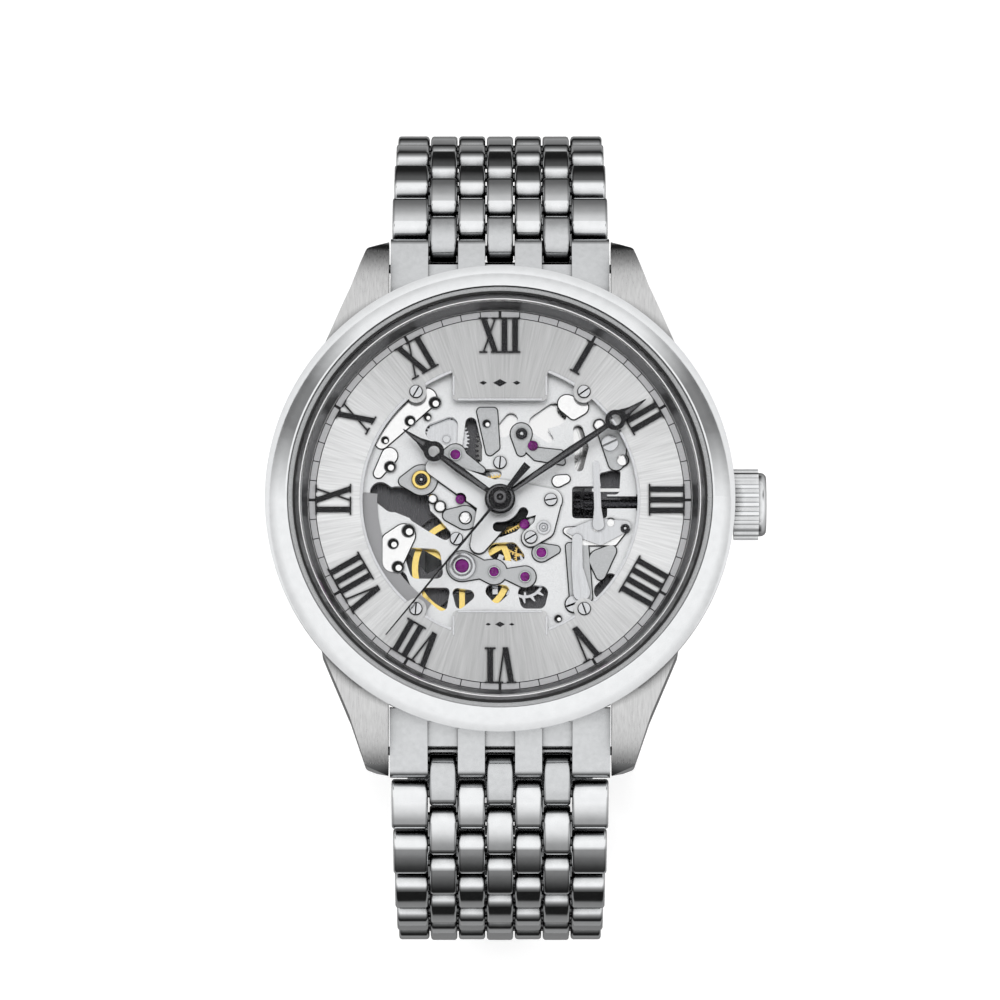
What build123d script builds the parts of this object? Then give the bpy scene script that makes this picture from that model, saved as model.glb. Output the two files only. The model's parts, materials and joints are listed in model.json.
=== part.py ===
from build123d import *
import os
from math import atan2, cos, degrees, hypot, pi, radians, sin, sqrt, tau

# Skeleton wristwatch on a seven-row steel bracelet, in millimetres.
# The outer face of the case back lies in the XY plane with its centre at the origin.
# The dial faces +Z, twelve o'clock is at +Y and the crown is at +X.
# The bracelet closes into a loop below the case, in the YZ plane.

# Driving sizes of the case.
BEZEL_RADIUS = 21.0
CASE_RADIUS = 20.5
LUG_WIDTH = 20.0
LUG_TIP_Y = 24.25
CASE_TOP = 8.2
STEM_HEIGHT = 4.6
RUNNING_GAP = 0.05

# Heights of the stack, from the case back to the hands.
BACK_TOP = 1.5
ROTOR_LOW = 1.85
BRIDGE_LOW = 2.95
BRIDGE_TOP = 3.65
PLATE_LOW = 5.2
PLATE_TOP = 6.1
CENTER_BRIDGE_LOW = 6.15
CENTER_BRIDGE_TOP = 6.75
DIAL_LOW = 7.2
DIAL_TOP = 7.6
HOUR_HAND_LOW = 8.15
MINUTE_HAND_LOW = 8.6
SECONDS_HAND_LOW = 9.05
HAND_THICKNESS = 0.22

# Radii inside the case.
CASE_BORE = 16.4
SHELF_RADIUS = 18.4
BACK_RADIUS = 17.6
MOVEMENT_RADIUS = 14.9
OPENING_RADIUS = 12.3
WINDOW_RADIUS = 13.6

# Bracelet: one row is four odd blocks and three even blocks, half a pitch apart.
PITCH = 5.2
BLOCK_RADIUS = 1.2
BLOCK_GAP = 0.35
BLOCK_LENGTH = PITCH - BLOCK_GAP
COLUMN_WIDTH = 2.4
COLUMN_STEP = 2.56
PIN_RADIUS = 0.45
PIN_FIT = 0.03
LINKS_PER_SIDE = 9
FIRST_HINGE_Y = 25.6
FIRST_HINGE_Z = 1.4
END_LINK_TILT = 31.0
FIRST_TILT = 38.0
ROW_CURL = 14.0
HEAD_HALF_WIDTH = 9.85
CLASP_HALF_WIDTH = 8.7

# Gear train: tooth counts, and the axes of the wheels about the centre.
CENTER_TEETH = 64
THIRD_LEAVES = 8
THIRD_TEETH = 60
FOURTH_LEAVES = 8
FOURTH_TEETH = 70
ESCAPE_LEAVES = 7
ESCAPE_TEETH = 15
BARREL_TEETH = 72
CENTER_LEAVES = 12
WINDING_TEETH = 36
WINDING_MODULE = 0.11
BARREL_AXIS = (2.95, 5.10)
THIRD_AXIS = (2.20, -2.00)
FOURTH_AXIS = (3.70, -4.56)
ESCAPE_AXIS = (2.24, -6.75)
PALLET_AXIS = (-0.53, -6.30)
BALANCE_AXIS = (-3.40, -5.78)
WINDING_AXIS = (-4.80, 5.85)
BALANCE_RADIUS = 4.5
GEAR_THICKNESS = 0.2

# Directions of the hands at rest, counter-clockwise from +X.
HOUR_DIRECTION = 144.0
MINUTE_DIRECTION = 34.4
SECONDS_DIRECTION = 230.5

os.makedirs("parts", exist_ok=True)


def keep(name, piece):
    """Label a finished piece and write it under its node name."""
    piece.part.label = name
    export_step(piece.part, f"parts/{name}.step")


def distance(first, second):
    """Distance between two axes in the plane of the movement."""
    return hypot(first[0] - second[0], first[1] - second[1])


def hull_of(circles):
    """Outline of a window or a bridge arm: the hull of a few circles given as x, y, radius."""
    with BuildSketch(mode=Mode.PRIVATE) as outline:
        for x, y, radius in circles:
            with Locations((x, y)):
                Circle(radius)
        make_hull()
    return outline.sketch


# ---------------------------------------------------------------- case

def lug_plan(side_x, side_y):
    """Plan of one lug, from under the bezel to its tip."""
    half = LUG_WIDTH / 2
    points = [(half, 14.0), (half, LUG_TIP_Y), (half + 2.0, 23.5), (half + 3.4, 19.4), (half + 5.9, 13.6)]
    return [(side_x * x, side_y * y) for x, y in points]


with BuildPart() as case_middle:
    with BuildSketch(Plane.XZ):
        Polygon(
            (CASE_BORE, BACK_TOP), (BACK_RADIUS + RUNNING_GAP, BACK_TOP), (BACK_RADIUS + RUNNING_GAP, 0.5),
            (18.8, 0.5), (20.2, 2.2), (CASE_RADIUS, 3.4), (CASE_RADIUS, CASE_TOP), (SHELF_RADIUS, CASE_TOP),
            (SHELF_RADIUS, DIAL_LOW), (CASE_BORE, DIAL_LOW),
            align=None,
        )
    revolve(axis=Axis.Z)
    for side_x in (-1, 1):
        for side_y in (-1, 1):
            with BuildPart(mode=Mode.PRIVATE) as lug:
                with BuildSketch():
                    Polygon(*lug_plan(side_x, side_y), align=None)
                extrude(amount=CASE_TOP)
                with BuildSketch(Plane.YZ):
                    with BuildLine():
                        top_start = (side_y * 13.0, CASE_TOP)
                        shoulder = (side_y * 17.0, 7.9)
                        tip_top = (side_y * LUG_TIP_Y, 2.4)
                        tip_low = (side_y * (LUG_TIP_Y - 0.4), 0.55)
                        Line(top_start, shoulder)
                        ThreePointArc(shoulder, (side_y * 21.3, 6.0), tip_top)
                        Polyline(tip_top, tip_low, (side_y * 19.0, 0.55), (side_y * 13.0, 1.6), top_start)
                    make_face()
                extrude(amount=2 * BEZEL_RADIUS, both=True, mode=Mode.INTERSECT)
                upright = lug.edges().filter_by(Axis.Z).group_by(Axis.Y)[-1 if side_y > 0 else 0]
                fillet(upright, 0.5)
                with BuildSketch(Plane.XY):
                    Circle(CASE_RADIUS - 0.6)
                extrude(amount=CASE_TOP, mode=Mode.SUBTRACT)
            add(lug.part)
    with BuildSketch(Plane.YZ.offset(CASE_BORE - 1.0)):
        with Locations((0, STEM_HEIGHT)):
            Circle(1.1)
    extrude(amount=CASE_RADIUS - CASE_BORE + 2.0, mode=Mode.SUBTRACT)
    with BuildSketch(Plane.YZ.offset(-LUG_WIDTH / 2 - 1.4)):
        with Locations((21.9, 1.7), (-21.9, 1.7)):
            Circle(0.42)
    extrude(amount=LUG_WIDTH + 2.8, mode=Mode.SUBTRACT)
keep("case_middle", case_middle)

BEZEL_INNER = SHELF_RADIUS + 0.1
BEZEL_WALL_TOP = 9.2
BEZEL_RIM = 10.35
BEZEL_STEP = 10.0
BEZEL_UNDERCUT = 0.3
with BuildPart() as bezel:
    with BuildSketch(Plane.XZ):
        with BuildLine():
            Polyline(
                (19.15, BEZEL_RIM), (19.0, BEZEL_RIM), (18.9, BEZEL_STEP), (BEZEL_INNER, BEZEL_STEP),
                (BEZEL_INNER, CASE_TOP), (BEZEL_RADIUS - BEZEL_UNDERCUT, CASE_TOP),
                (BEZEL_RADIUS, CASE_TOP + BEZEL_UNDERCUT), (BEZEL_RADIUS, BEZEL_WALL_TOP),
            )
            ThreePointArc((BEZEL_RADIUS, BEZEL_WALL_TOP), (20.1, 9.85), (19.15, BEZEL_RIM))
        make_face()
    revolve(axis=Axis.Z)
keep("bezel", bezel)

CRYSTAL_LOW = 9.65
CRYSTAL_RADIUS = 18.3
CRYSTAL_TOP = 11.3
CRYSTAL_SHOULDER = 10.75
CRYSTAL_CHAMFER = 0.3
dome_reach = CRYSTAL_RADIUS - CRYSTAL_CHAMFER
dome_rise = CRYSTAL_TOP - CRYSTAL_SHOULDER
dome_radius = (dome_reach**2 + dome_rise**2) / (2 * dome_rise)
dome_middle = CRYSTAL_TOP - dome_radius + (dome_radius**2 - (dome_reach / 2) ** 2) ** 0.5
with BuildPart() as crystal:
    with BuildSketch(Plane.XZ):
        with BuildLine():
            Polyline(
                (0, CRYSTAL_TOP), (0, CRYSTAL_LOW), (CRYSTAL_RADIUS, CRYSTAL_LOW),
                (CRYSTAL_RADIUS, CRYSTAL_SHOULDER - CRYSTAL_CHAMFER), (dome_reach, CRYSTAL_SHOULDER),
            )
            ThreePointArc((dome_reach, CRYSTAL_SHOULDER), (dome_reach / 2, dome_middle), (0, CRYSTAL_TOP))
        make_face()
    revolve(axis=Axis.Z)
keep("crystal", crystal)

with BuildPart() as case_seals:
    with BuildSketch(Plane.XY.offset(CRYSTAL_LOW)):
        Circle(SHELF_RADIUS + 0.1)
        Circle(CRYSTAL_RADIUS, mode=Mode.SUBTRACT)
    extrude(amount=0.7)
    with BuildSketch(Plane.XY.offset(BACK_TOP)):
        Circle(CASE_BORE - 0.05)
        Circle(CASE_BORE - 0.5, mode=Mode.SUBTRACT)
    extrude(amount=0.5)
keep("case_seals", case_seals)

with BuildPart() as dial_flange:
    with BuildSketch(Plane.XZ):
        Polygon(
            (SHELF_RADIUS - 0.1, DIAL_TOP), (SHELF_RADIUS - 0.1, CRYSTAL_LOW), (17.95, CRYSTAL_LOW),
            (17.2, 8.0), (17.2, DIAL_TOP),
            align=None,
        )
    revolve(axis=Axis.Z)
keep("dial_flange", dial_flange)

BACK_WINDOW_TOP = 0.9
with BuildPart() as case_back:
    with BuildSketch():
        Circle(BACK_RADIUS)
        Circle(WINDOW_RADIUS - 0.6, mode=Mode.SUBTRACT)
    extrude(amount=BACK_TOP)
    with BuildSketch():
        Circle(WINDOW_RADIUS)
    extrude(amount=BACK_WINDOW_TOP, mode=Mode.SUBTRACT)
    with BuildSketch():
        with PolarLocations(BACK_RADIUS - 0.6, 6):
            Rectangle(1.8, 1.6)
    extrude(amount=0.5, mode=Mode.SUBTRACT)
keep("case_back", case_back)

with BuildPart() as case_back_window:
    with BuildSketch():
        Circle(WINDOW_RADIUS - 0.02)
    extrude(amount=BACK_WINDOW_TOP)
keep("case_back_window", case_back_window)

with BuildPart() as movement_holder:
    with BuildSketch(Plane.XY.offset(3.0)):
        Circle(CASE_BORE - 0.1)
        Circle(MOVEMENT_RADIUS + 0.05, mode=Mode.SUBTRACT)
    extrude(amount=DIAL_LOW - 3.0)
    with BuildSketch(Plane.YZ.offset(MOVEMENT_RADIUS - 1.0)):
        with Locations((0, STEM_HEIGHT)):
            Rectangle(2.6, 2.4)
    extrude(amount=3.0, mode=Mode.SUBTRACT)
keep("movement_holder", movement_holder)

# ---------------------------------------------------------------- dial

TAB_HALF_WIDTH = 4.25
UPPER_TAB_EDGE = 9.0
LOWER_TAB_EDGE = -9.95
DIAL_SCREW_RADIUS = 12.35
DIAL_SCREW_ANGLES = (52.5, 127.5, 232.5, 307.5)
EAR_RADIUS = 0.95
with BuildSketch(mode=Mode.PRIVATE) as dial_opening:
    Circle(OPENING_RADIUS)
    with Locations((0, UPPER_TAB_EDGE + 2.5)):
        RectangleRounded(2 * TAB_HALF_WIDTH, 5.0, 0.45, mode=Mode.SUBTRACT)
    with Locations((0, LOWER_TAB_EDGE - 2.5)):
        RectangleRounded(2 * TAB_HALF_WIDTH, 5.0, 0.45, mode=Mode.SUBTRACT)
    for angle in DIAL_SCREW_ANGLES:
        with PolarLocations(DIAL_SCREW_RADIUS, 1, angle):
            Circle(EAR_RADIUS, mode=Mode.SUBTRACT)

with BuildPart() as dial:
    with BuildSketch(Plane.XY.offset(DIAL_LOW)):
        Circle(SHELF_RADIUS - 0.1)
        add(dial_opening.sketch, mode=Mode.SUBTRACT)
        for angle in DIAL_SCREW_ANGLES:
            with PolarLocations(DIAL_SCREW_RADIUS, 1, angle):
                Circle(0.3, mode=Mode.SUBTRACT)
    extrude(amount=DIAL_TOP - DIAL_LOW)
keep("dial", dial)

# Applied Roman numerals stand on the dial with their feet toward the centre.
NUMERAL_HEIGHT = 3.2
NUMERAL_MIDDLE = 14.9
NUMERAL_THICKNESS = 0.22
THICK_STROKE = 0.5
THIN_STROKE = 0.14
SERIF = 0.13
STROKE_STEP = {"I": 0.95, "V": 1.75, "X": 1.75}
NUMERALS = ("XII", "I", "II", "III", "IIII", "V", "VI", "VII", "VIII", "IX", "X", "XI")


def stroke(foot, head, width):
    """One slanted or upright bar between the foot and the head of a numeral."""
    half = NUMERAL_HEIGHT / 2
    Polygon(
        (foot - width / 2, -half), (foot + width / 2, -half),
        (head + width / 2, half), (head - width / 2, half),
        align=None,
    )


def serif(centre, at_head, width):
    """A thin cross bar at the head or the foot of a stroke."""
    offset = (NUMERAL_HEIGHT - SERIF) / 2
    with Locations((centre, offset if at_head else -offset)):
        Rectangle(width, SERIF)


def letter(kind, centre):
    """Add one letter of a numeral, centred on the given place."""
    if kind == "I":
        stroke(centre, centre, THICK_STROKE)
        serif(centre, True, 0.96)
        serif(centre, False, 0.96)
        return
    spread = 0.55
    if kind == "V":
        stroke(centre, centre - spread, THICK_STROKE)
        stroke(centre + 0.12, centre + spread, THIN_STROKE)
    else:
        stroke(centre + spread, centre - spread, THICK_STROKE)
        stroke(centre - spread, centre + spread, THIN_STROKE)
        serif(centre - spread, False, 0.7)
        serif(centre + spread, False, 0.8)
    serif(centre - spread, True, 0.86)
    serif(centre + spread, True, 0.7)


with BuildPart() as hour_numerals:
    for hour, text in enumerate(NUMERALS):
        turn = radians(90 - 30 * hour)
        middle = (NUMERAL_MIDDLE * cos(turn), NUMERAL_MIDDLE * sin(turn), DIAL_TOP)
        total = sum(STROKE_STEP[kind] for kind in text)
        with BuildSketch(Plane(origin=middle, x_dir=(sin(turn), -cos(turn), 0), z_dir=(0, 0, 1))):
            place = -total / 2
            for kind in text:
                letter(kind, place + STROKE_STEP[kind] / 2)
                place += STROKE_STEP[kind]
        extrude(amount=NUMERAL_THICKNESS)
keep("hour_numerals", hour_numerals)


def screw(x, y, top, head_radius, head_height, shank_radius, shank_length, slot_angle):
    """Add one slotted cheese-head screw whose head ends at the given height."""
    with BuildSketch(Plane((x, y, top))) as slotted_half:
        Circle(head_radius)
        Rectangle(3 * head_radius, 0.26 * head_radius, rotation=slot_angle, mode=Mode.SUBTRACT)
    extrude(slotted_half.sketch, amount=-head_height / 2)
    with BuildSketch(Plane((x, y, top - head_height / 2))) as full_half:
        Circle(head_radius)
    extrude(full_half.sketch, amount=-head_height / 2)
    with BuildSketch(Plane((x, y, top - head_height))) as shank:
        Circle(shank_radius)
    extrude(shank.sketch, amount=-shank_length)


with BuildPart() as dial_screws:
    for number, angle in enumerate(DIAL_SCREW_ANGLES):
        turn = radians(angle)
        screw(
            DIAL_SCREW_RADIUS * cos(turn), DIAL_SCREW_RADIUS * sin(turn), DIAL_TOP + 0.25,
            0.52, 0.25, 0.28, 1.2, 35 + 25 * number,
        )
keep("dial_screws", dial_screws)

# ---------------------------------------------------------------- movement plates

WINDOWS = {
    "balance_left": ((-7.7, -4.9, 0.8), (-7.4, -6.2, 0.7), (-6.0, -4.9, 0.7), (-5.7, -6.3, 0.6)),
    "balance_low_left": ((-6.5, -8.2, 0.5), (-5.2, -9.3, 0.5), (-4.9, -8.1, 0.4)),
    "balance_low": ((-3.8, -8.2, 0.45), (-2.8, -8.4, 0.5), (-3.6, -9.2, 0.4)),
    "pallet_upper": ((-0.3, -4.4, 0.75), (1.0, -4.3, 0.7), (1.7, -4.9, 0.5)),
    "pallet_lower": ((-0.7, -8.0, 0.6), (0.3, -8.0, 0.55), (-0.3, -8.6, 0.5)),
    "escape_lower": ((2.3, -8.2, 0.7), (3.6, -8.2, 0.7), (2.4, -9.0, 0.6), (3.5, -9.0, 0.6)),
    "cloud_left": ((-10.7, 0.9, 0.95), (-9.6, 0.1, 1.0)),
    "cloud_middle": ((-9.3, 0.3, 1.15), (-7.6, 0.2, 1.2), (-7.0, -1.0, 0.8)),
    "cloud_right": ((-7.3, -1.0, 0.9), (-6.0, -2.0, 0.75), (-4.9, -2.9, 0.5)),
    "rear_left": ((-9.0, -6.9, 0.7), (-8.3, -8.3, 0.55)),
    "winding_wheel": ((-5.9, 6.4, 0.8), (-4.5, 7.0, 0.75), (-4.4, 5.6, 0.6)),
    "lens_upper": ((-2.6, 7.2, 0.5), (-2.5, 5.0, 0.9), (-1.9, 3.9, 0.3)),
    "clover_left": ((0.3, 6.6, 0.7), (1.0, 7.6, 0.6)),
    "clover_right": ((4.9, 8.0, 1.1), (3.4, 7.3, 0.8)),
    "clover_low": ((3.4, 6.8, 0.7), (4.4, 5.8, 0.4)),
    "barrel_teeth": ((7.0, 6.6, 0.45), (7.5, 5.0, 0.45), (7.1, 3.2, 0.4)),
    "center_upper": ((-2.6, 1.9, 0.5), (-1.2, 2.5, 0.5), (-0.3, 2.6, 0.45)),
    "center_lower": ((0.0, -2.6, 0.55), (1.2, -2.2, 0.5), (2.4, -1.0, 0.5)),
    "pinion_bay": ((6.8, 1.1, 0.35), (6.8, -1.1, 0.35), (9.25, 1.1, 0.35), (9.25, -1.1, 0.35)),
    "lever_bay": ((9.2, 2.4, 0.3), (10.4, 2.6, 0.4), (9.4, 1.0, 0.3), (10.3, 1.1, 0.4)),
    "stem_bay": ((9.4, 0.0, 0.55), (12.6, 0.0, 0.55)),
    "rear_right": ((9.2, -8.0, 0.8), (9.9, -7.0, 0.6)),
}
window_shapes = [hull_of(circles) for circles in WINDOWS.values()]
STEM_CUT = 2.2
JEWELS = {
    "barrel": (BARREL_AXIS, 0.45),
    "third": (THIRD_AXIS, 0.42),
    "fourth": (FOURTH_AXIS, 0.42),
    "escape": (ESCAPE_AXIS, 0.40),
    "pallet": (PALLET_AXIS, 0.40),
    "balance": (BALANCE_AXIS, 0.55),
    "winding": ((-4.0, 4.3), 0.42),
    "left": ((-3.55, 0.25), 0.42),
}
JEWEL_THICKNESS = 0.4
PLATE_SCREWS = {
    "center": ((0.0, 3.6), 0.52, 85.0),
    "left": ((-3.9, -3.3), 0.52, 60.0),
    "balance_top": ((9.85, 5.35), 0.72, 25.0),
    "lever_low": ((6.6, -9.2), 0.72, 20.0),
}
SHANK_RADIUS = 0.28
SHANK_HOLE = 0.3
BRIDGE_SCREWS = {
    "right": ((4.55, 0.15), 0.52, 10.0),
    "lower": ((2.75, -3.25), 0.52, 30.0),
}

with BuildPart() as main_plate:
    with BuildSketch(Plane.XY.offset(PLATE_LOW)):
        Circle(MOVEMENT_RADIUS)
        for shape in window_shapes:
            add(shape, mode=Mode.SUBTRACT)
        Circle(0.75, mode=Mode.SUBTRACT)
        for (x, y), radius in JEWELS.values():
            with Locations((x, y)):
                Circle(radius, mode=Mode.SUBTRACT)
        for angle in DIAL_SCREW_ANGLES:
            with PolarLocations(DIAL_SCREW_RADIUS, 1, angle):
                Circle(0.33, mode=Mode.SUBTRACT)
        for (x, y), _, _ in (*PLATE_SCREWS.values(), *BRIDGE_SCREWS.values()):
            with Locations((x, y)):
                Circle(SHANK_HOLE, mode=Mode.SUBTRACT)
    extrude(amount=PLATE_TOP - PLATE_LOW)
    with BuildSketch(Plane.XY.offset(PLATE_TOP)):
        Circle(MOVEMENT_RADIUS)
        Circle(OPENING_RADIUS + 1.3, mode=Mode.SUBTRACT)
    extrude(amount=DIAL_LOW - PLATE_TOP)
    with BuildSketch(Plane.XY.offset(PLATE_LOW)):
        with Locations((MOVEMENT_RADIUS, 0)):
            Rectangle(2 * STEM_CUT + 1.0, 1.5)
    extrude(amount=PLATE_TOP - PLATE_LOW, mode=Mode.SUBTRACT)
keep("main_plate", main_plate)

with BuildPart() as jewels:
    for (x, y), radius in JEWELS.values():
        with BuildSketch(Plane((x, y, PLATE_TOP - JEWEL_THICKNESS))):
            Circle(radius)
        extrude(amount=JEWEL_THICKNESS)
keep("jewels", jewels)

CENTER_ARMS = (
    ((0.0, 0.0, 2.0), (4.55, 0.15, 1.0)),
    ((4.55, 0.15, 0.95), (3.9, -2.4, 0.95)),
    ((0.0, 0.0, 1.9), (-1.9, -3.9, 0.75)),
    ((0.0, 0.0, 1.7), (-5.9, 3.1, 0.75)),
    ((3.9, -2.4, 0.95), (2.75, -3.25, 0.8)),
)
arm_shapes = [hull_of(circles) for circles in CENTER_ARMS]
CRESCENT = CenterArc((0, 0), 2.3, -95, 70)
with BuildPart() as center_bridge:
    with BuildSketch(Plane.XY.offset(CENTER_BRIDGE_LOW)):
        for shape in arm_shapes:
            add(shape)
        Circle(0.75, mode=Mode.SUBTRACT)
        SlotArc(CRESCENT, 0.9, mode=Mode.SUBTRACT)
        for (x, y), radius in JEWELS.values():
            with Locations((x, y)):
                Circle(radius + 0.12, mode=Mode.SUBTRACT)
        for (x, y), _, _ in BRIDGE_SCREWS.values():
            with Locations((x, y)):
                Circle(SHANK_HOLE, mode=Mode.SUBTRACT)
    extrude(amount=CENTER_BRIDGE_TOP - CENTER_BRIDGE_LOW)
keep("center_bridge", center_bridge)

with BuildPart() as movement_screws:
    for (x, y), radius, slot_angle in PLATE_SCREWS.values():
        screw(x, y, PLATE_TOP + 0.3, radius, 0.3, SHANK_RADIUS, 0.85, slot_angle)
    for (x, y), radius, slot_angle in BRIDGE_SCREWS.values():
        screw(x, y, CENTER_BRIDGE_TOP + 0.3, radius, 0.3, SHANK_RADIUS, 1.4, slot_angle)
    with BuildSketch(Plane.XY.offset(ROTOR_LOW - 0.2)):
        Circle(1.4)
    extrude(amount=0.2)
    with BuildSketch(Plane.XY.offset(ROTOR_LOW)):
        Circle(0.6)
    extrude(amount=0.4)
keep("movement_screws", movement_screws)

ROTOR_POST = 1.0
REAR_JEWELS = (THIRD_AXIS, FOURTH_AXIS, ESCAPE_AXIS)
with BuildPart() as train_bridge:
    with BuildSketch(Plane.XY.offset(BRIDGE_LOW)):
        Circle(MOVEMENT_RADIUS - 0.6)
        with Locations(BALANCE_AXIS):
            Circle(BALANCE_RADIUS + 0.9, mode=Mode.SUBTRACT)
        with Locations((-9.5, -9.5)):
            Circle(4.2, mode=Mode.SUBTRACT)
        with Locations((8.8, 0)):
            Rectangle(6.0, 3.4, mode=Mode.SUBTRACT)
        with Locations(*REAR_JEWELS[:3]):
            Circle(0.3, mode=Mode.SUBTRACT)
    extrude(amount=BRIDGE_TOP - BRIDGE_LOW)
    with BuildSketch(Plane.XY.offset(BRIDGE_LOW)):
        Circle(ROTOR_POST)
    extrude(amount=ROTOR_LOW - BRIDGE_LOW)
    with BuildSketch(Plane.XY.offset(ROTOR_LOW)):
        Circle(0.62)
    extrude(amount=0.45, mode=Mode.SUBTRACT)
keep("train_bridge", train_bridge)

with BuildPart() as balance_cock:
    cock = hull_of(((BALANCE_AXIS[0], BALANCE_AXIS[1], 1.2), (-8.6, -9.4, 1.9)))
    with BuildSketch(Plane.XY.offset(BRIDGE_LOW)):
        add(cock)
        with Locations(BALANCE_AXIS):
            Circle(0.3, mode=Mode.SUBTRACT)
    extrude(amount=BRIDGE_TOP - BRIDGE_LOW)
    with BuildSketch(Plane.XY.offset(BRIDGE_TOP)):
        with Locations((-9.1, -10.0)):
            Circle(1.0)
    extrude(amount=PLATE_LOW - BRIDGE_TOP)
keep("balance_cock", balance_cock)

# ---------------------------------------------------------------- gear train

def toothed_outline(teeth, module, phase):
    """Corner points of a wheel with trapezoid teeth; phase turns it by parts of a tooth."""
    pitch_radius = teeth * module / 2
    tip = pitch_radius + 0.85 * module
    root = pitch_radius - 1.2 * module
    step = tau / teeth
    points = []
    for tooth in range(teeth):
        start = (tooth + phase) * step
        corners = ((root, -0.30), (tip, -0.12), (tip, 0.12), (root, 0.30))
        points += [(r * cos(start + part * step), r * sin(start + part * step)) for r, part in corners]
    return points


def wheel(axis, low, teeth, module, phase=0.0, spokes=4, hub=0.55):
    """Add a spoked wheel about the given axis."""
    rim = teeth * module / 2 - 2.6 * module
    with BuildSketch(Plane((axis[0], axis[1], low))) as shape:
        Polygon(*toothed_outline(teeth, module, phase), align=None)
        if spokes:
            Circle(rim, mode=Mode.SUBTRACT)
            with PolarLocations(0, spokes):
                with Locations((rim / 2, 0)):
                    Rectangle(rim + 2 * module, 0.24)
            Circle(hub)
    extrude(shape.sketch, amount=GEAR_THICKNESS)


def pinion(axis, low, high, leaves, module, phase=0.0):
    """Add a small solid pinion about the given axis."""
    with BuildSketch(Plane((axis[0], axis[1], low))) as shape:
        Polygon(*toothed_outline(leaves, module, phase), align=None)
    extrude(shape.sketch, amount=high - low)


def arbor(axis, low, high, radius):
    """Add a plain round arbor about the given axis."""
    with BuildSketch(Plane((axis[0], axis[1], low))) as shape:
        Circle(radius)
    extrude(shape.sketch, amount=high - low)


def mesh_phase(axis, other, teeth, other_teeth, other_phase):
    """Phase of a pinion that puts a gap opposite the tooth of the wheel it meets."""
    toward = atan2(other[1] - axis[1], other[0] - axis[0])
    met = (toward + pi) / tau * other_teeth - other_phase
    return (toward / tau * teeth + met + 0.5) % 1.0


CENTER_MODULE = 2 * distance((0, 0), THIRD_AXIS) / (CENTER_TEETH + THIRD_LEAVES)
THIRD_MODULE = 2 * distance((0, 0), THIRD_AXIS) / (THIRD_TEETH + FOURTH_LEAVES)
FOURTH_MODULE = 2 * distance(FOURTH_AXIS, ESCAPE_AXIS) / (FOURTH_TEETH + ESCAPE_LEAVES)
BARREL_MODULE = 2 * distance((0, 0), BARREL_AXIS) / (BARREL_TEETH + CENTER_LEAVES)
TRAIN_LOW = BRIDGE_TOP + 0.2
FOURTH_LOW = 4.35
CENTER_LOW = 4.78
PIVOT_TOP = PLATE_TOP - JEWEL_THICKNESS - 0.02
CENTER = (0.0, 0.0)
CANNON_RADIUS = 0.42
CANNON_BORE = 0.22
HOUR_TUBE_RADIUS = 0.68

with BuildPart() as center_wheel:
    wheel(CENTER, CENTER_LOW, CENTER_TEETH, CENTER_MODULE, hub=1.0)
    pinion(
        CENTER, 4.22, CENTER_LOW, CENTER_LEAVES, BARREL_MODULE,
        mesh_phase(CENTER, BARREL_AXIS, CENTER_LEAVES, BARREL_TEETH, 0.0),
    )
    arbor(CENTER, CENTER_LOW, MINUTE_HAND_LOW, CANNON_RADIUS)
    with BuildSketch(Plane.XY.offset(4.2)):
        Circle(CANNON_BORE)
    extrude(amount=MINUTE_HAND_LOW, mode=Mode.SUBTRACT)
keep("center_wheel", center_wheel)

with BuildPart() as third_wheel:
    wheel(THIRD_AXIS, TRAIN_LOW, THIRD_TEETH, THIRD_MODULE, spokes=4)
    pinion(
        THIRD_AXIS, 4.7, 5.0, THIRD_LEAVES, CENTER_MODULE,
        mesh_phase(THIRD_AXIS, CENTER, THIRD_LEAVES, CENTER_TEETH, 0.0),
    )
    arbor(THIRD_AXIS, BRIDGE_TOP - 0.3, PIVOT_TOP, 0.18)
keep("third_wheel", third_wheel)

with BuildPart() as fourth_wheel:
    wheel(FOURTH_AXIS, FOURTH_LOW, FOURTH_TEETH, FOURTH_MODULE, spokes=4)
    pinion(
        FOURTH_AXIS, TRAIN_LOW - 0.05, 4.15, FOURTH_LEAVES, THIRD_MODULE,
        mesh_phase(FOURTH_AXIS, THIRD_AXIS, FOURTH_LEAVES, THIRD_TEETH, 0.0),
    )
    arbor(FOURTH_AXIS, BRIDGE_TOP - 0.3, PIVOT_TOP, 0.18)
keep("fourth_wheel", fourth_wheel)

ESCAPE_LOW = 4.72
ESCAPE_TIP = 2.2
ESCAPE_RIM = 1.75
with BuildPart() as escape_wheel:
    with BuildSketch(Plane((ESCAPE_AXIS[0], ESCAPE_AXIS[1], ESCAPE_LOW))):
        Circle(ESCAPE_RIM)
        Circle(ESCAPE_RIM - 0.25, mode=Mode.SUBTRACT)
        with PolarLocations(0, 4):
            with Locations((ESCAPE_RIM / 2, 0)):
                Rectangle(ESCAPE_RIM, 0.2)
        Circle(0.4)
        with PolarLocations(0, ESCAPE_TEETH):
            Polygon(
                (ESCAPE_RIM - 0.1, -0.14), (ESCAPE_TIP, 0.16), (ESCAPE_TIP, 0.26), (ESCAPE_RIM - 0.1, 0.2),
                align=None,
            )
    extrude(amount=0.15)
    pinion(
        ESCAPE_AXIS, FOURTH_LOW - 0.05, ESCAPE_LOW, ESCAPE_LEAVES, FOURTH_MODULE,
        mesh_phase(ESCAPE_AXIS, FOURTH_AXIS, ESCAPE_LEAVES, FOURTH_TEETH, 0.0),
    )
    arbor(ESCAPE_AXIS, BRIDGE_TOP - 0.3, PIVOT_TOP, 0.12)
keep("escape_wheel", escape_wheel)

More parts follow.
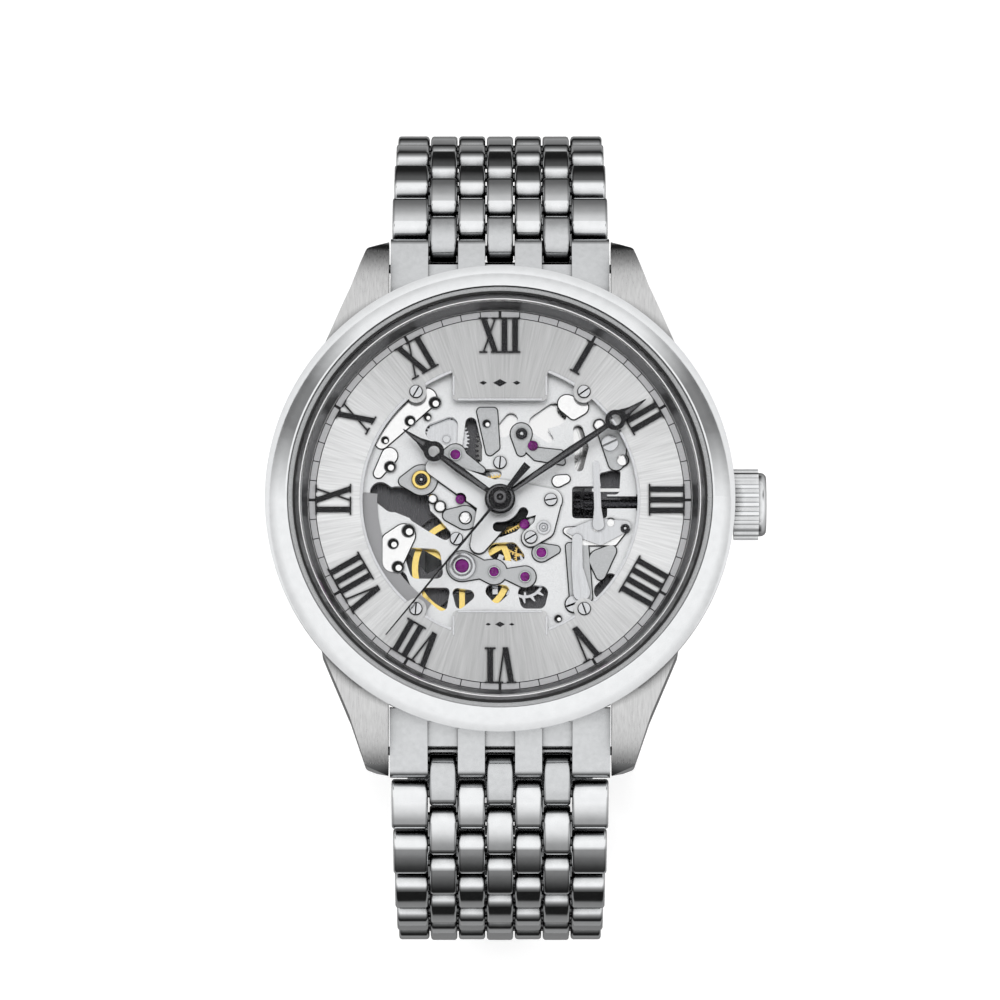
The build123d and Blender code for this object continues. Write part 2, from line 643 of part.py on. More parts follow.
RIM_LOW = 4.15
RIM_TOP = 4.45
PALLET_LOW = 4.66
toward_balance = atan2(BALANCE_AXIS[1] - PALLET_AXIS[1], BALANCE_AXIS[0] - PALLET_AXIS[0])
toward_escape = atan2(ESCAPE_AXIS[1] - PALLET_AXIS[1], ESCAPE_AXIS[0] - PALLET_AXIS[0])
FORK_REACH = distance(PALLET_AXIS, BALANCE_AXIS) - 0.85
STONE_ANGLES = (42.0, -42.0)
with BuildPart() as pallet_fork:
    fork_plane = Plane(
        origin=(PALLET_AXIS[0], PALLET_AXIS[1], PALLET_LOW),
        x_dir=(cos(toward_balance), sin(toward_balance), 0), z_dir=(0, 0, 1),
    )
    with BuildSketch(fork_plane):
        Circle(0.42)
        with Locations((FORK_REACH / 2 - 0.15, 0)):
            Rectangle(FORK_REACH - 0.3, 0.22)
        Polygon(
            (FORK_REACH - 0.5, -0.2), (FORK_REACH, -0.36), (FORK_REACH, -0.12), (FORK_REACH - 0.25, -0.1),
            (FORK_REACH - 0.25, 0.1), (FORK_REACH, 0.12), (FORK_REACH, 0.36), (FORK_REACH - 0.5, 0.2),
            align=None,
        )
    extrude(amount=0.2)
    anchor_plane = Plane(
        origin=(PALLET_AXIS[0], PALLET_AXIS[1], PALLET_LOW),
        x_dir=(cos(toward_escape), sin(toward_escape), 0), z_dir=(0, 0, 1),
    )
    with BuildSketch(anchor_plane):
        for side in (-1, 1):
            Polygon(
                (-0.1, side * 0.3), (0.35, side * 0.2), (0.62, side * 1.75), (0.16, side * 1.85), align=None,
            )
    extrude(amount=0.2)
    arbor(PALLET_AXIS, RIM_TOP + RUNNING_GAP, PIVOT_TOP, 0.12)
keep("pallet_fork", pallet_fork)

RIM_WIDTH = 0.55
with BuildPart() as balance_wheel:
    with BuildSketch(Plane((BALANCE_AXIS[0], BALANCE_AXIS[1], RIM_LOW))):
        Circle(BALANCE_RADIUS)
        Circle(BALANCE_RADIUS - RIM_WIDTH, mode=Mode.SUBTRACT)
        with PolarLocations(0, 3, 270):
            with Locations(((BALANCE_RADIUS - RIM_WIDTH) / 2, 0)):
                Rectangle(BALANCE_RADIUS - RIM_WIDTH + 0.1, 0.5)
        Circle(0.7)
    extrude(amount=RIM_TOP - RIM_LOW)
    arbor(BALANCE_AXIS, RIM_TOP, RIM_TOP + 0.15, 0.55)
    arbor(BALANCE_AXIS, BRIDGE_LOW + 0.1, PIVOT_TOP, 0.13)
keep("balance_wheel", balance_wheel)

COIL_TURNS = 7
COIL_INNER = 0.5
COIL_OUTER = 2.3
COIL_WIDTH = 0.06
POINTS_PER_TURN = 12


def coil_point(step, side):
    """A point on one side of the flat spiral, counted in steps from the inner end."""
    turn = tau * step / POINTS_PER_TURN
    share = step / (COIL_TURNS * POINTS_PER_TURN)
    radius = COIL_INNER + (COIL_OUTER - COIL_INNER) * share + side * COIL_WIDTH / 2
    return (radius * cos(turn), radius * sin(turn))


with BuildPart() as hairspring:
    with BuildSketch(Plane((BALANCE_AXIS[0], BALANCE_AXIS[1], 3.78))):
        with BuildLine():
            steps = range(COIL_TURNS * POINTS_PER_TURN + 1)
            inner_side = Spline(*[coil_point(step, -1) for step in steps])
            outer_side = Spline(*[coil_point(step, 1) for step in steps])
            Line(inner_side @ 0, outer_side @ 0)
            Line(inner_side @ 1, outer_side @ 1)
        make_face()
    extrude(amount=0.2)
keep("hairspring", hairspring)

DRUM_RADIUS = 4.25
with BuildPart() as mainspring_barrel:
    wheel(BARREL_AXIS, 4.3, BARREL_TEETH, BARREL_MODULE, spokes=0)
    arbor(BARREL_AXIS, TRAIN_LOW, 4.62, DRUM_RADIUS)
    arbor(BARREL_AXIS, 4.62, PIVOT_TOP, 0.3)
keep("mainspring_barrel", mainspring_barrel)

with BuildPart() as winding_wheel:
    wheel(WINDING_AXIS, CENTER_LOW, WINDING_TEETH, WINDING_MODULE, spokes=0)
    arbor(WINDING_AXIS, 4.2, PLATE_LOW - RUNNING_GAP, 0.3)
keep("winding_wheel", winding_wheel)

ROTOR_RADIUS = 13.0
with BuildPart() as rotor:
    with BuildSketch(Plane.XY.offset(ROTOR_LOW + 0.02)):
        Circle(ROTOR_RADIUS)
        with Locations((0, ROTOR_RADIUS)):
            Rectangle(2 * ROTOR_RADIUS, 2 * ROTOR_RADIUS - 3.0, mode=Mode.SUBTRACT)
        for side in (-1, 1):
            window = hull_of(((side * 2.2, -4.6, 0.6), (side * 7.8, -3.4, 0.8), (side * 3.0, -8.6, 0.8)))
            add(window, mode=Mode.SUBTRACT)
        Circle(2.6)
        Circle(ROTOR_POST + RUNNING_GAP, mode=Mode.SUBTRACT)
    extrude(amount=0.35)
    with BuildSketch(Plane.XY.offset(ROTOR_LOW + 0.37)):
        Circle(ROTOR_RADIUS)
        Circle(ROTOR_RADIUS - 2.2, mode=Mode.SUBTRACT)
        with Locations((0, ROTOR_RADIUS)):
            Rectangle(2 * ROTOR_RADIUS, 2 * ROTOR_RADIUS - 3.0, mode=Mode.SUBTRACT)
    extrude(amount=0.5)
keep("rotor", rotor)

# ---------------------------------------------------------------- keyless works and crown

LEVER_LOW = PLATE_TOP
LEVER_TOP = PLATE_TOP + 0.3
with BuildPart() as keyless_works:
    yoke = hull_of(((8.6, 3.4, 0.28), (8.75, -0.6, 0.32)))
    yoke_head = hull_of(((8.75, -0.6, 0.32), (8.8, -2.1, 0.5)))
    with BuildSketch(Plane.XY.offset(LEVER_TOP + 0.05)):
        add(yoke)
        add(yoke_head)
    extrude(amount=0.25)
    cover = hull_of(((6.2, -2.7, 0.2), (8.6, -1.9, 0.4), (11.2, -2.2, 0.5), (9.0, -3.6, 0.3)))
    with BuildSketch(Plane.XY.offset(LEVER_LOW)):
        add(cover)
    extrude(amount=LEVER_TOP - LEVER_LOW)
    spring = hull_of(((6.9, -3.4, 0.45), (6.9, -6.0, 0.5)))
    spring_foot = hull_of(((6.9, -6.0, 0.5), (7.3, -8.2, 0.75)))
    with BuildSketch(Plane.XY.offset(LEVER_TOP + 0.05)):
        add(spring)
        add(spring_foot)
    extrude(amount=0.25)
keep("keyless_works", keyless_works)

TUBE_OUTER = 1.1
TUBE_BORE = 0.75
STEM_RADIUS = 0.45
CROWN_RADIUS = 3.2
CROWN_START = 20.95
CROWN_FLUTED = 2.2
CROWN_FLUTES = 24
stem_plane = Plane(origin=(0, 0, STEM_HEIGHT), x_dir=(0, 1, 0), z_dir=(1, 0, 0))

with BuildPart() as crown_tube:
    with BuildSketch(stem_plane.offset(CASE_BORE + 0.1)):
        Circle(TUBE_OUTER)
        Circle(TUBE_BORE, mode=Mode.SUBTRACT)
    extrude(amount=5.6)
keep("crown_tube", crown_tube)

with BuildPart() as crown:
    with BuildSketch(stem_plane.offset(CROWN_START)):
        Circle(CROWN_RADIUS)
        with PolarLocations(CROWN_RADIUS + 0.1, CROWN_FLUTES):
            Circle(0.3, mode=Mode.SUBTRACT)
    extrude(amount=CROWN_FLUTED)
    with BuildSketch(stem_plane.offset(CROWN_START + CROWN_FLUTED)):
        Circle(CROWN_RADIUS - 0.35)
    extrude(amount=0.7)
    fillet(crown.faces().sort_by(Axis.X)[-1].edges(), 0.5)
    with BuildSketch(stem_plane.offset(CROWN_START)):
        Circle(1.6)
        Circle(0.5, mode=Mode.SUBTRACT)
    extrude(amount=1.6, mode=Mode.SUBTRACT)
keep("crown", crown)

with BuildPart() as crown_seal:
    with BuildSketch(stem_plane.offset(CROWN_START + 1.15)):
        Circle(1.5)
        Circle(0.6, mode=Mode.SUBTRACT)
    extrude(amount=0.35)
keep("crown_seal", crown_seal)

WINDING_PINION_START = 6.65
WINDING_PINION_RADIUS = 1.2
PINION_LEAVES = 14
PINION_MODULE = 2 * WINDING_PINION_RADIUS / (PINION_LEAVES + 2)
with BuildPart() as winding_stem:
    with BuildSketch(stem_plane.offset(WINDING_PINION_START - 0.8)):
        Circle(0.3)
    extrude(amount=0.8)
    with BuildSketch(stem_plane.offset(WINDING_PINION_START)):
        Polygon(*toothed_outline(PINION_LEAVES, PINION_MODULE, 0.0), align=None)
    extrude(amount=0.55)
    with BuildSketch(stem_plane.offset(WINDING_PINION_START + 0.55)):
        Circle(0.75)
    extrude(amount=0.35)
    with BuildSketch(stem_plane.offset(WINDING_PINION_START + 0.9)):
        Polygon(*toothed_outline(PINION_LEAVES, PINION_MODULE, 0.5), align=None)
    extrude(amount=0.75)
    with BuildSketch(stem_plane.offset(WINDING_PINION_START + 1.65)):
        Circle(STEM_RADIUS)
    extrude(amount=CROWN_START - WINDING_PINION_START - 1.65)
keep("winding_stem", winding_stem)

# ---------------------------------------------------------------- hands

def hand_plane(direction, low):
    """Plane of a hand that points along its own X."""
    turn = radians(direction)
    return Plane(origin=(0, 0, low), x_dir=(cos(turn), sin(turn), 0), z_dir=(0, 0, 1))


def ring_hand(direction, low, ring_at, length, hub_radius, bore):
    """Add a lance-shaped hand with a ring before its pointed tip."""
    ring_radius = 0.92
    widest = 0.62 * ring_at
    with BuildSketch(hand_plane(direction, low)) as shape:
        Circle(hub_radius)
        Polygon(
            (0, -0.2), (widest, -0.34), (ring_at, -0.2), (ring_at, 0.2), (widest, 0.34), (0, 0.2), align=None,
        )
        with Locations((ring_at, 0)):
            Circle(ring_radius)
        Polygon(
            (ring_at, -ring_radius), (ring_at + 0.6 * ring_radius, -0.72 * ring_radius),
            (ring_at + 0.5 * (length - ring_at), -0.28), (length, -0.04), (length, 0.04),
            (ring_at + 0.5 * (length - ring_at), 0.28), (ring_at + 0.6 * ring_radius, 0.72 * ring_radius),
            (ring_at, ring_radius), align=None,
        )
        with Locations((ring_at, 0)):
            Circle(0.5, mode=Mode.SUBTRACT)
        Circle(bore, mode=Mode.SUBTRACT)
    extrude(shape.sketch, amount=HAND_THICKNESS)


HOUR_BORE = CANNON_RADIUS + RUNNING_GAP
with BuildPart() as hour_hand:
    ring_hand(HOUR_DIRECTION, HOUR_HAND_LOW, 7.3, 10.7, 1.37, HOUR_BORE)
    with BuildSketch(Plane.XY.offset(CENTER_BRIDGE_TOP - 0.5)):
        Circle(HOUR_TUBE_RADIUS)
        Circle(HOUR_BORE, mode=Mode.SUBTRACT)
    extrude(amount=HOUR_HAND_LOW - CENTER_BRIDGE_TOP + 0.5)
keep("hour_hand", hour_hand)

with BuildPart() as minute_hand:
    ring_hand(MINUTE_DIRECTION, MINUTE_HAND_LOW, 12.5, 15.8, 1.1, CANNON_BORE)
keep("minute_hand", minute_hand)

SECONDS_LENGTH = 16.0
SECONDS_TAIL = 3.85
with BuildPart() as seconds_hand:
    with BuildSketch(hand_plane(SECONDS_DIRECTION, SECONDS_HAND_LOW)):
        Polygon(
            (0, -0.13), (SECONDS_LENGTH, -0.05), (SECONDS_LENGTH, 0.05), (0, 0.13),
            (-SECONDS_TAIL, 0.36), (-SECONDS_TAIL, -0.36), align=None,
        )
        Circle(0.72)
    extrude(amount=HAND_THICKNESS)
    with BuildSketch(Plane.XY.offset(SECONDS_HAND_LOW + HAND_THICKNESS)):
        Circle(0.5)
    extrude(amount=0.25)
    arbor(CENTER, TRAIN_LOW, SECONDS_HAND_LOW, CANNON_BORE - RUNNING_GAP)
    pinion(
        CENTER, TRAIN_LOW - 0.05, 4.12, FOURTH_LEAVES, THIRD_MODULE,
        mesh_phase(CENTER, THIRD_AXIS, FOURTH_LEAVES, THIRD_TEETH, 0.0),
    )
keep("seconds_hand", seconds_hand)

# ---------------------------------------------------------------- bracelet

def row_tilt(row):
    """Downward tilt of a bracelet row, in degrees; row 0 is the end link."""
    return END_LINK_TILT if row == 0 else FIRST_TILT + ROW_CURL * (row - 1)


def hinge_point(row):
    """Height and reach of the hinge where a row ends; hinge 0 ends the end link."""
    y = FIRST_HINGE_Y
    z = FIRST_HINGE_Z
    for passed in range(1, row + 1):
        y += PITCH * cos(radians(row_tilt(passed)))
        z -= PITCH * sin(radians(row_tilt(passed)))
    return y, z


def row_plane(side, row, x):
    """Plane across a row at the given X, with its own X along the row, away from the case."""
    y, z = hinge_point(max(row - 1, 0))
    tilt = radians(row_tilt(row))
    return Plane(origin=(x, side * y, z), x_dir=(0, side * cos(tilt), -sin(tilt)), z_dir=(1, 0, 0))


def half_width(row):
    """Half the width of the bracelet at a row."""
    return HEAD_HALF_WIDTH - (HEAD_HALF_WIDTH - CLASP_HALF_WIDTH) * row / LINKS_PER_SIDE


def odd_columns(row):
    """Left edge and width of the four odd columns."""
    inner_edge = 2.5 * COLUMN_STEP + 0.08
    outer = half_width(row) - inner_edge
    return (
        (-half_width(row), outer), (-COLUMN_STEP - COLUMN_WIDTH / 2, COLUMN_WIDTH),
        (COLUMN_STEP - COLUMN_WIDTH / 2, COLUMN_WIDTH), (inner_edge, outer),
    )


def even_columns():
    """Left edge and width of the three even columns."""
    return tuple((place * COLUMN_STEP - COLUMN_WIDTH / 2, COLUMN_WIDTH) for place in (-2, 0, 2))


EDGE_ROUND = 0.28
BLOCK_FLAT = BLOCK_LENGTH - 2 * BLOCK_RADIUS
DOME_RADIUS = 9.0
DOME_DEPTH = sqrt((DOME_RADIUS - BLOCK_RADIUS) ** 2 - (BLOCK_FLAT / 2) ** 2)
DOME_SHARE = BLOCK_RADIUS / (DOME_RADIUS - BLOCK_RADIUS)


def block(side, row, left, width, start, holes):
    """Add one block of a row, round at both ends and domed outside; start centres its near end."""
    with BuildPart(mode=Mode.PRIVATE) as piece:
        with BuildSketch(row_plane(side, row, left)):
            with BuildLine():
                finish = start + BLOCK_FLAT
                middle = start + BLOCK_FLAT / 2
                shoulder = side * DOME_SHARE * DOME_DEPTH
                lead_in = (start - DOME_SHARE * BLOCK_FLAT / 2, shoulder)
                lead_out = (finish + DOME_SHARE * BLOCK_FLAT / 2, shoulder)
                underside = -side * BLOCK_RADIUS
                ThreePointArc(lead_in, (middle, side * (DOME_RADIUS - DOME_DEPTH)), lead_out)
                ThreePointArc(lead_out, (finish + BLOCK_RADIUS, 0), (finish, underside))
                Line((finish, underside), (start, underside))
                ThreePointArc((start, underside), (start - BLOCK_RADIUS, 0), lead_in)
            make_face()
        extrude(amount=width)
        fillet(piece.faces().filter_by(Axis.X).edges(), EDGE_ROUND)
        with BuildSketch(row_plane(side, row, left)):
            for place, radius in holes:
                with Locations((place, 0)):
                    Circle(radius)
        extrude(amount=width, mode=Mode.SUBTRACT)
    add(piece.part)


def cross_pin(side, row, place, half_length):
    """Add one pin across the row at the given distance from its hinge."""
    with BuildSketch(row_plane(side, row, -half_length)) as section:
        with Locations((place, 0)):
            Circle(PIN_RADIUS)
    extrude(section.sketch, amount=2 * half_length)


PRESS_HOLE = PIN_RADIUS + 0.01
RUN_HOLE = PIN_RADIUS + PIN_FIT
EVEN_START = PITCH - BLOCK_FLAT


def link(side, row):
    """One row: four odd blocks on the hinge before it, three even blocks that reach the next hinge."""
    with BuildPart() as piece:
        for left, width in odd_columns(row):
            block(side, row, left, width, 0.0, ((0.0, PRESS_HOLE), (PITCH / 2, PRESS_HOLE)))
        for left, width in even_columns():
            block(side, row, left, width, EVEN_START, ((PITCH / 2, PRESS_HOLE), (PITCH, RUN_HOLE)))
        cross_pin(side, row, 0.0, half_width(row) - 0.25)
        cross_pin(side, row, PITCH / 2, half_width(row) - 0.25)
        if row == LINKS_PER_SIDE and side < 0:
            cross_pin(side, row, PITCH, 2.5 * COLUMN_STEP - 0.3)
    return piece


for side, hour in ((1, 12), (-1, 6)):
    for row in range(1, LINKS_PER_SIDE + 1):
        keep(f"link_{hour}_{row}", link(side, row))

SPRING_BAR_Y = 21.9
SPRING_BAR_Z = 1.7
CASE_FIT = 0.08
end_sine = sin(radians(END_LINK_TILT))
end_cosine = cos(radians(END_LINK_TILT))


def along_end(place, height):
    """Point of the end link at a distance before its hinge and a height over its middle line."""
    y = FIRST_HINGE_Y - place * end_cosine + height * end_sine
    z = FIRST_HINGE_Z + place * end_sine + height * end_cosine
    return y, z


ODD_END = 2 * BLOCK_RADIUS + BLOCK_GAP
EVEN_END = PITCH
END_REACH = 8.8
END_FOOT_Y = 18.0
END_FOOT_Z = 0.8


def end_link_profile(side, end_place):
    """Side view of an end link column: a rounded nose on a body that drops to the lug underside."""
    top_start = along_end(END_REACH, BLOCK_RADIUS)
    inner_foot = (END_FOOT_Y, END_FOOT_Z)
    nose_top = along_end(end_place, BLOCK_RADIUS)
    nose_tip = along_end(end_place - BLOCK_RADIUS, 0)
    nose_low = along_end(end_place, -BLOCK_RADIUS)
    foot = (nose_low[0] - 0.3, END_FOOT_Z)
    corners = [(side * y, z) for y, z in (top_start, nose_top, nose_tip, nose_low, foot, inner_foot)]
    with BuildLine() as outline:
        Line(corners[0], corners[1])
        ThreePointArc(corners[1], corners[2], corners[3])
        Polyline(corners[3], corners[4], corners[5], corners[0])
    make_face(outline.edges())


with BuildPart() as end_links:
    for side in (1, -1):
        with BuildPart(mode=Mode.PRIVATE) as body:
            for left, width in odd_columns(0):
                with BuildSketch(Plane.YZ.offset(left)):
                    end_link_profile(side, ODD_END)
                extrude(amount=width)
            with BuildSketch(Plane.YZ.offset(-HEAD_HALF_WIDTH)):
                with BuildLine():
                    slope_top = along_end(END_REACH, BLOCK_RADIUS - 0.25)
                    slope_low = along_end(EVEN_END - 0.2, BLOCK_RADIUS - 0.25)
                    Polyline(
                        (side * slope_top[0], slope_top[1]), (side * slope_low[0], slope_low[1]),
                        (side * 21.75, 3.2), (side * 21.2, END_FOOT_Z), (side * END_FOOT_Y, END_FOOT_Z),
                        close=True,
                    )
                make_face()
            extrude(amount=2 * HEAD_HALF_WIDTH)
            with BuildSketch():
                Circle(CASE_RADIUS + CASE_FIT)
            extrude(amount=CASE_TOP, mode=Mode.SUBTRACT)
            with BuildSketch(Plane.YZ.offset(-HEAD_HALF_WIDTH)):
                with Locations((side * SPRING_BAR_Y, SPRING_BAR_Z)):
                    Circle(0.62)
            extrude(amount=2 * HEAD_HALF_WIDTH, mode=Mode.SUBTRACT)
            pin_y, pin_z = along_end(PITCH / 2, 0)
            with BuildSketch(Plane.YZ.offset(-HEAD_HALF_WIDTH)):
                with Locations((side * pin_y, pin_z)):
                    Circle(PRESS_HOLE)
            extrude(amount=2 * HEAD_HALF_WIDTH, mode=Mode.SUBTRACT)
        add(body.part)
        for left, width in even_columns():
            block(
                side, 0, left, width, -(BLOCK_LENGTH - 2 * BLOCK_RADIUS),
                ((-PITCH / 2, PRESS_HOLE), (0.0, RUN_HOLE)),
            )
        cross_pin(side, 0, -PITCH / 2, HEAD_HALF_WIDTH - 0.25)
keep("end_links", end_links)

with BuildPart() as spring_bars:
    for side in (1, -1):
        with BuildSketch(Plane.YZ.offset(-HEAD_HALF_WIDTH + 0.2)):
            with Locations((side * SPRING_BAR_Y, SPRING_BAR_Z)):
                Circle(0.6)
        extrude(amount=2 * (HEAD_HALF_WIDTH - 0.2))
        with BuildSketch(Plane.YZ.offset(-HEAD_HALF_WIDTH - 1.3)):
            with Locations((side * SPRING_BAR_Y, SPRING_BAR_Z)):
                Circle(0.4)
        extrude(amount=2 * (HEAD_HALF_WIDTH + 1.3))
keep("spring_bars", spring_bars)

# ---------------------------------------------------------------- folding clasp

last_y, last_z = hinge_point(LINKS_PER_SIDE)
CLASP_HALF_ANGLE = 23.0
CLASP_RADIUS = last_y / sin(radians(CLASP_HALF_ANGLE))
CLASP_CENTRE_Z = last_z + CLASP_RADIUS * cos(radians(CLASP_HALF_ANGLE))
COVER_LOW = 0.6
COVER_TOP = 1.3
OUTER_BLADE = (-0.2, 0.4)
INNER_BLADE = (-1.25, -0.7)
END_CLEARANCE = 1.75
cover_angle = CLASP_HALF_ANGLE - degrees(END_CLEARANCE / CLASP_RADIUS)
FOLD_ANGLE = 18.0
WALL = 0.7
BLADE_HALF_WIDTH = 5.6
BLADE_PIN = 0.28


def clasp_point(angle, offset):
    """Point of the clasp at an angle from its middle, positive toward twelve o'clock."""
    turn = radians(angle)
    radius = CLASP_RADIUS + offset
    return radius * sin(turn), CLASP_CENTRE_Z - radius * cos(turn)


def clasp_band(start, end, low, top):
    """Curved band of the clasp between two angles and two offsets from its middle arc."""
    with BuildLine() as outline:
        middle = (start + end) / 2
        ThreePointArc(clasp_point(start, low), clasp_point(middle, low), clasp_point(end, low))
        ThreePointArc(clasp_point(start, top), clasp_point(middle, top), clasp_point(end, top))
        Line(clasp_point(start, low), clasp_point(start, top))
        Line(clasp_point(end, low), clasp_point(end, top))
    make_face(outline.edges())


def clasp_strip(left, width, start, end, low, top, mode=Mode.ADD):
    """Add or cut a curved band of the clasp between two X places."""
    with BuildSketch(Plane.YZ.offset(left)) as section:
        clasp_band(start, end, low, top)
    extrude(section.sketch, amount=width, mode=mode)


def clasp_barrel(left, width, centre, radius, mode=Mode.ADD):
    """Add or cut a round knuckle or pin of the clasp."""
    with BuildSketch(Plane.YZ.offset(left)) as section:
        with Locations(centre):
            Circle(radius)
    extrude(section.sketch, amount=width, mode=mode)


clasp_hinge = (last_y, last_z)
cover_fold = clasp_point(-FOLD_ANGLE, 0.1)
blade_fold = clasp_point(FOLD_ANGLE, -0.45)
BUTTON_HALF_ANGLE = 2.4
with BuildPart() as clasp_cover:
    clasp_strip(-CLASP_HALF_WIDTH, 2 * CLASP_HALF_WIDTH, -cover_angle, cover_angle, COVER_LOW, COVER_TOP)
    for left in (-CLASP_HALF_WIDTH, CLASP_HALF_WIDTH - WALL):
        clasp_strip(left, WALL, -cover_angle, cover_angle, -BLOCK_RADIUS, COVER_TOP)
        clasp_strip(
            left - 0.1, WALL + 0.2, -BUTTON_HALF_ANGLE - 0.1, BUTTON_HALF_ANGLE + 0.1, -0.75, 0.55, Mode.SUBTRACT,
        )
    for left, width in odd_columns(LINKS_PER_SIDE):
        clasp_strip(left, width, cover_angle - 0.2, CLASP_HALF_ANGLE, -0.9, 0.9)
        clasp_barrel(left, width, clasp_hinge, BLOCK_RADIUS)
        clasp_barrel(left, width, clasp_hinge, PRESS_HOLE, Mode.SUBTRACT)
    for left, width in even_columns():
        clasp_barrel(left, width, clasp_hinge, BLOCK_RADIUS + 0.35, Mode.SUBTRACT)
    clasp_barrel(-CLASP_HALF_WIDTH, 2 * CLASP_HALF_WIDTH, cover_fold, BLADE_PIN + 0.01, Mode.SUBTRACT)
    clasp_barrel(-CLASP_HALF_WIDTH + 0.25, 2 * CLASP_HALF_WIDTH - 0.5, clasp_hinge, PIN_RADIUS)
    clasp_barrel(-CLASP_HALF_WIDTH + 0.1, 2 * CLASP_HALF_WIDTH - 0.2, cover_fold, BLADE_PIN)
keep("clasp_cover", clasp_cover)

with BuildPart() as clasp_outer_blade:
    clasp_strip(-BLADE_HALF_WIDTH, 2 * BLADE_HALF_WIDTH, -FOLD_ANGLE, FOLD_ANGLE - 1.0, *OUTER_BLADE)
    clasp_barrel(-BLADE_HALF_WIDTH, 2 * BLADE_HALF_WIDTH, cover_fold, 0.45)
    clasp_barrel(-BLADE_HALF_WIDTH, 2 * BLADE_HALF_WIDTH, cover_fold, BLADE_PIN + PIN_FIT, Mode.SUBTRACT)
    clasp_strip(-2.0, 4.0, FOLD_ANGLE - 1.2, FOLD_ANGLE, -0.35, 0.35)
    clasp_barrel(-2.0, 4.0, blade_fold, 0.78)
    clasp_barrel(-2.0, 4.0, blade_fold, BLADE_PIN + PIN_FIT, Mode.SUBTRACT)
keep("clasp_outer_blade", clasp_outer_blade)

with BuildPart() as clasp_inner_blade:
    clasp_strip(-BLADE_HALF_WIDTH, 2 * BLADE_HALF_WIDTH, -cover_angle - 0.3, FOLD_ANGLE - 1.0, *INNER_BLADE)
    for left in (-BLADE_HALF_WIDTH, 2.1):
        width = BLADE_HALF_WIDTH - 2.1
        clasp_strip(left, width, FOLD_ANGLE - 1.2, FOLD_ANGLE, -1.2, -0.7)
        clasp_barrel(left, width, blade_fold, 0.78)
        clasp_barrel(left, width, blade_fold, BLADE_PIN + 0.01, Mode.SUBTRACT)
    clasp_strip(-2.1, 4.2, FOLD_ANGLE - 2.2, FOLD_ANGLE, -1.3, -0.6, Mode.SUBTRACT)
    clasp_barrel(-BLADE_HALF_WIDTH + 0.1, 2 * BLADE_HALF_WIDTH - 0.2, blade_fold, BLADE_PIN)
keep("clasp_inner_blade", clasp_inner_blade)

BUTTON_OUT = 0.6
for side, name in ((-1, "clasp_button_left"), (1, "clasp_button_right")):
    with BuildPart() as clasp_button:
        near = CLASP_HALF_WIDTH - WALL - 0.9
        left = near if side > 0 else -CLASP_HALF_WIDTH - BUTTON_OUT
        reach = WALL + 0.9 + BUTTON_OUT
        clasp_strip(left, reach, -BUTTON_HALF_ANGLE, BUTTON_HALF_ANGLE, -0.7, 0.5)
    keep(name, clasp_button)
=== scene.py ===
"""Looks of the skeleton wristwatch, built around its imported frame. Lengths are in metres."""
import json
from math import cos, radians, sin, tau

import bmesh
import bpy
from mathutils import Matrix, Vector


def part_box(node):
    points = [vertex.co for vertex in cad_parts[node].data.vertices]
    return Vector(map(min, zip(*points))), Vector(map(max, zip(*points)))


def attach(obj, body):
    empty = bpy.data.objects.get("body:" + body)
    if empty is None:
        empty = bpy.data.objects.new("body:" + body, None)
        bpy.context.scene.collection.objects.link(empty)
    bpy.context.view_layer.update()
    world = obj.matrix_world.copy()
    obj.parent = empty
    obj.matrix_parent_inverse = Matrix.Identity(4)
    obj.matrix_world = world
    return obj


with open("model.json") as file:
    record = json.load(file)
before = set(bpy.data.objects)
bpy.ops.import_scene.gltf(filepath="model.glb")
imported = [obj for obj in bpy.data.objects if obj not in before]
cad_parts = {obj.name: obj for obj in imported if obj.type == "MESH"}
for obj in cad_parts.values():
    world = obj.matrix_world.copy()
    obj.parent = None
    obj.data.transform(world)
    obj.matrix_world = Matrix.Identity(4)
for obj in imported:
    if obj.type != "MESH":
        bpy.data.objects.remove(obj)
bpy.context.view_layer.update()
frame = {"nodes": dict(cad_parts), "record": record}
MM = 0.001

# Places taken from the frame.
dial_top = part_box("dial")[1][2]
plate_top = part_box("jewels")[1][2]
bridge_low, bridge_top = (corner[2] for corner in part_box("center_bridge"))
flange_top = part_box("dial_flange")[1][2]
barrel_low, barrel_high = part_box("mainspring_barrel")
barrel_axis = ((barrel_low[0] + barrel_high[0]) / 2, (barrel_low[1] + barrel_high[1]) / 2)
floor_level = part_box("clasp_cover")[0][2] - 0.2 * MM
hand_center = Vector((0.0, 0.0, dial_top))


# ---------------------------------------------------------------- node helpers

def new_material(name):
    """A material with an empty node tree except for its shader and output."""
    material = bpy.data.materials.new(name)
    material.use_nodes = True
    nodes = material.node_tree.nodes
    shader = nodes["Principled BSDF"]
    return material, nodes, material.node_tree.links, shader


def noise(nodes, links, scale, stretch=(1, 1, 1), detail=4.0, source=None):
    """Noise over object coordinates in millimetres, stretched to suit brushing or grain."""
    if source is None:
        source = nodes.new("ShaderNodeTexCoord").outputs["Object"]
    mapping = nodes.new("ShaderNodeMapping")
    mapping.inputs["Scale"].default_value = tuple(axis / MM for axis in stretch)
    links.new(source, mapping.inputs["Vector"])
    texture = nodes.new("ShaderNodeTexNoise")
    texture.inputs["Scale"].default_value = scale
    texture.inputs["Detail"].default_value = detail
    links.new(mapping.outputs["Vector"], texture.inputs["Vector"])
    return texture.outputs["Fac"]


def ramp(nodes, links, source, *stops):
    """Colour ramp through (position, grey or colour) stops."""
    node = nodes.new("ShaderNodeValToRGB")
    elements = node.color_ramp.elements
    while len(elements) < len(stops):
        elements.new(0.5)
    for element, (place, value) in zip(elements, stops):
        element.position = place
        colour = (value, value, value) if isinstance(value, (int, float)) else value
        element.color = (*colour, 1.0)
    links.new(source, node.inputs["Fac"])
    return node.outputs["Color"]


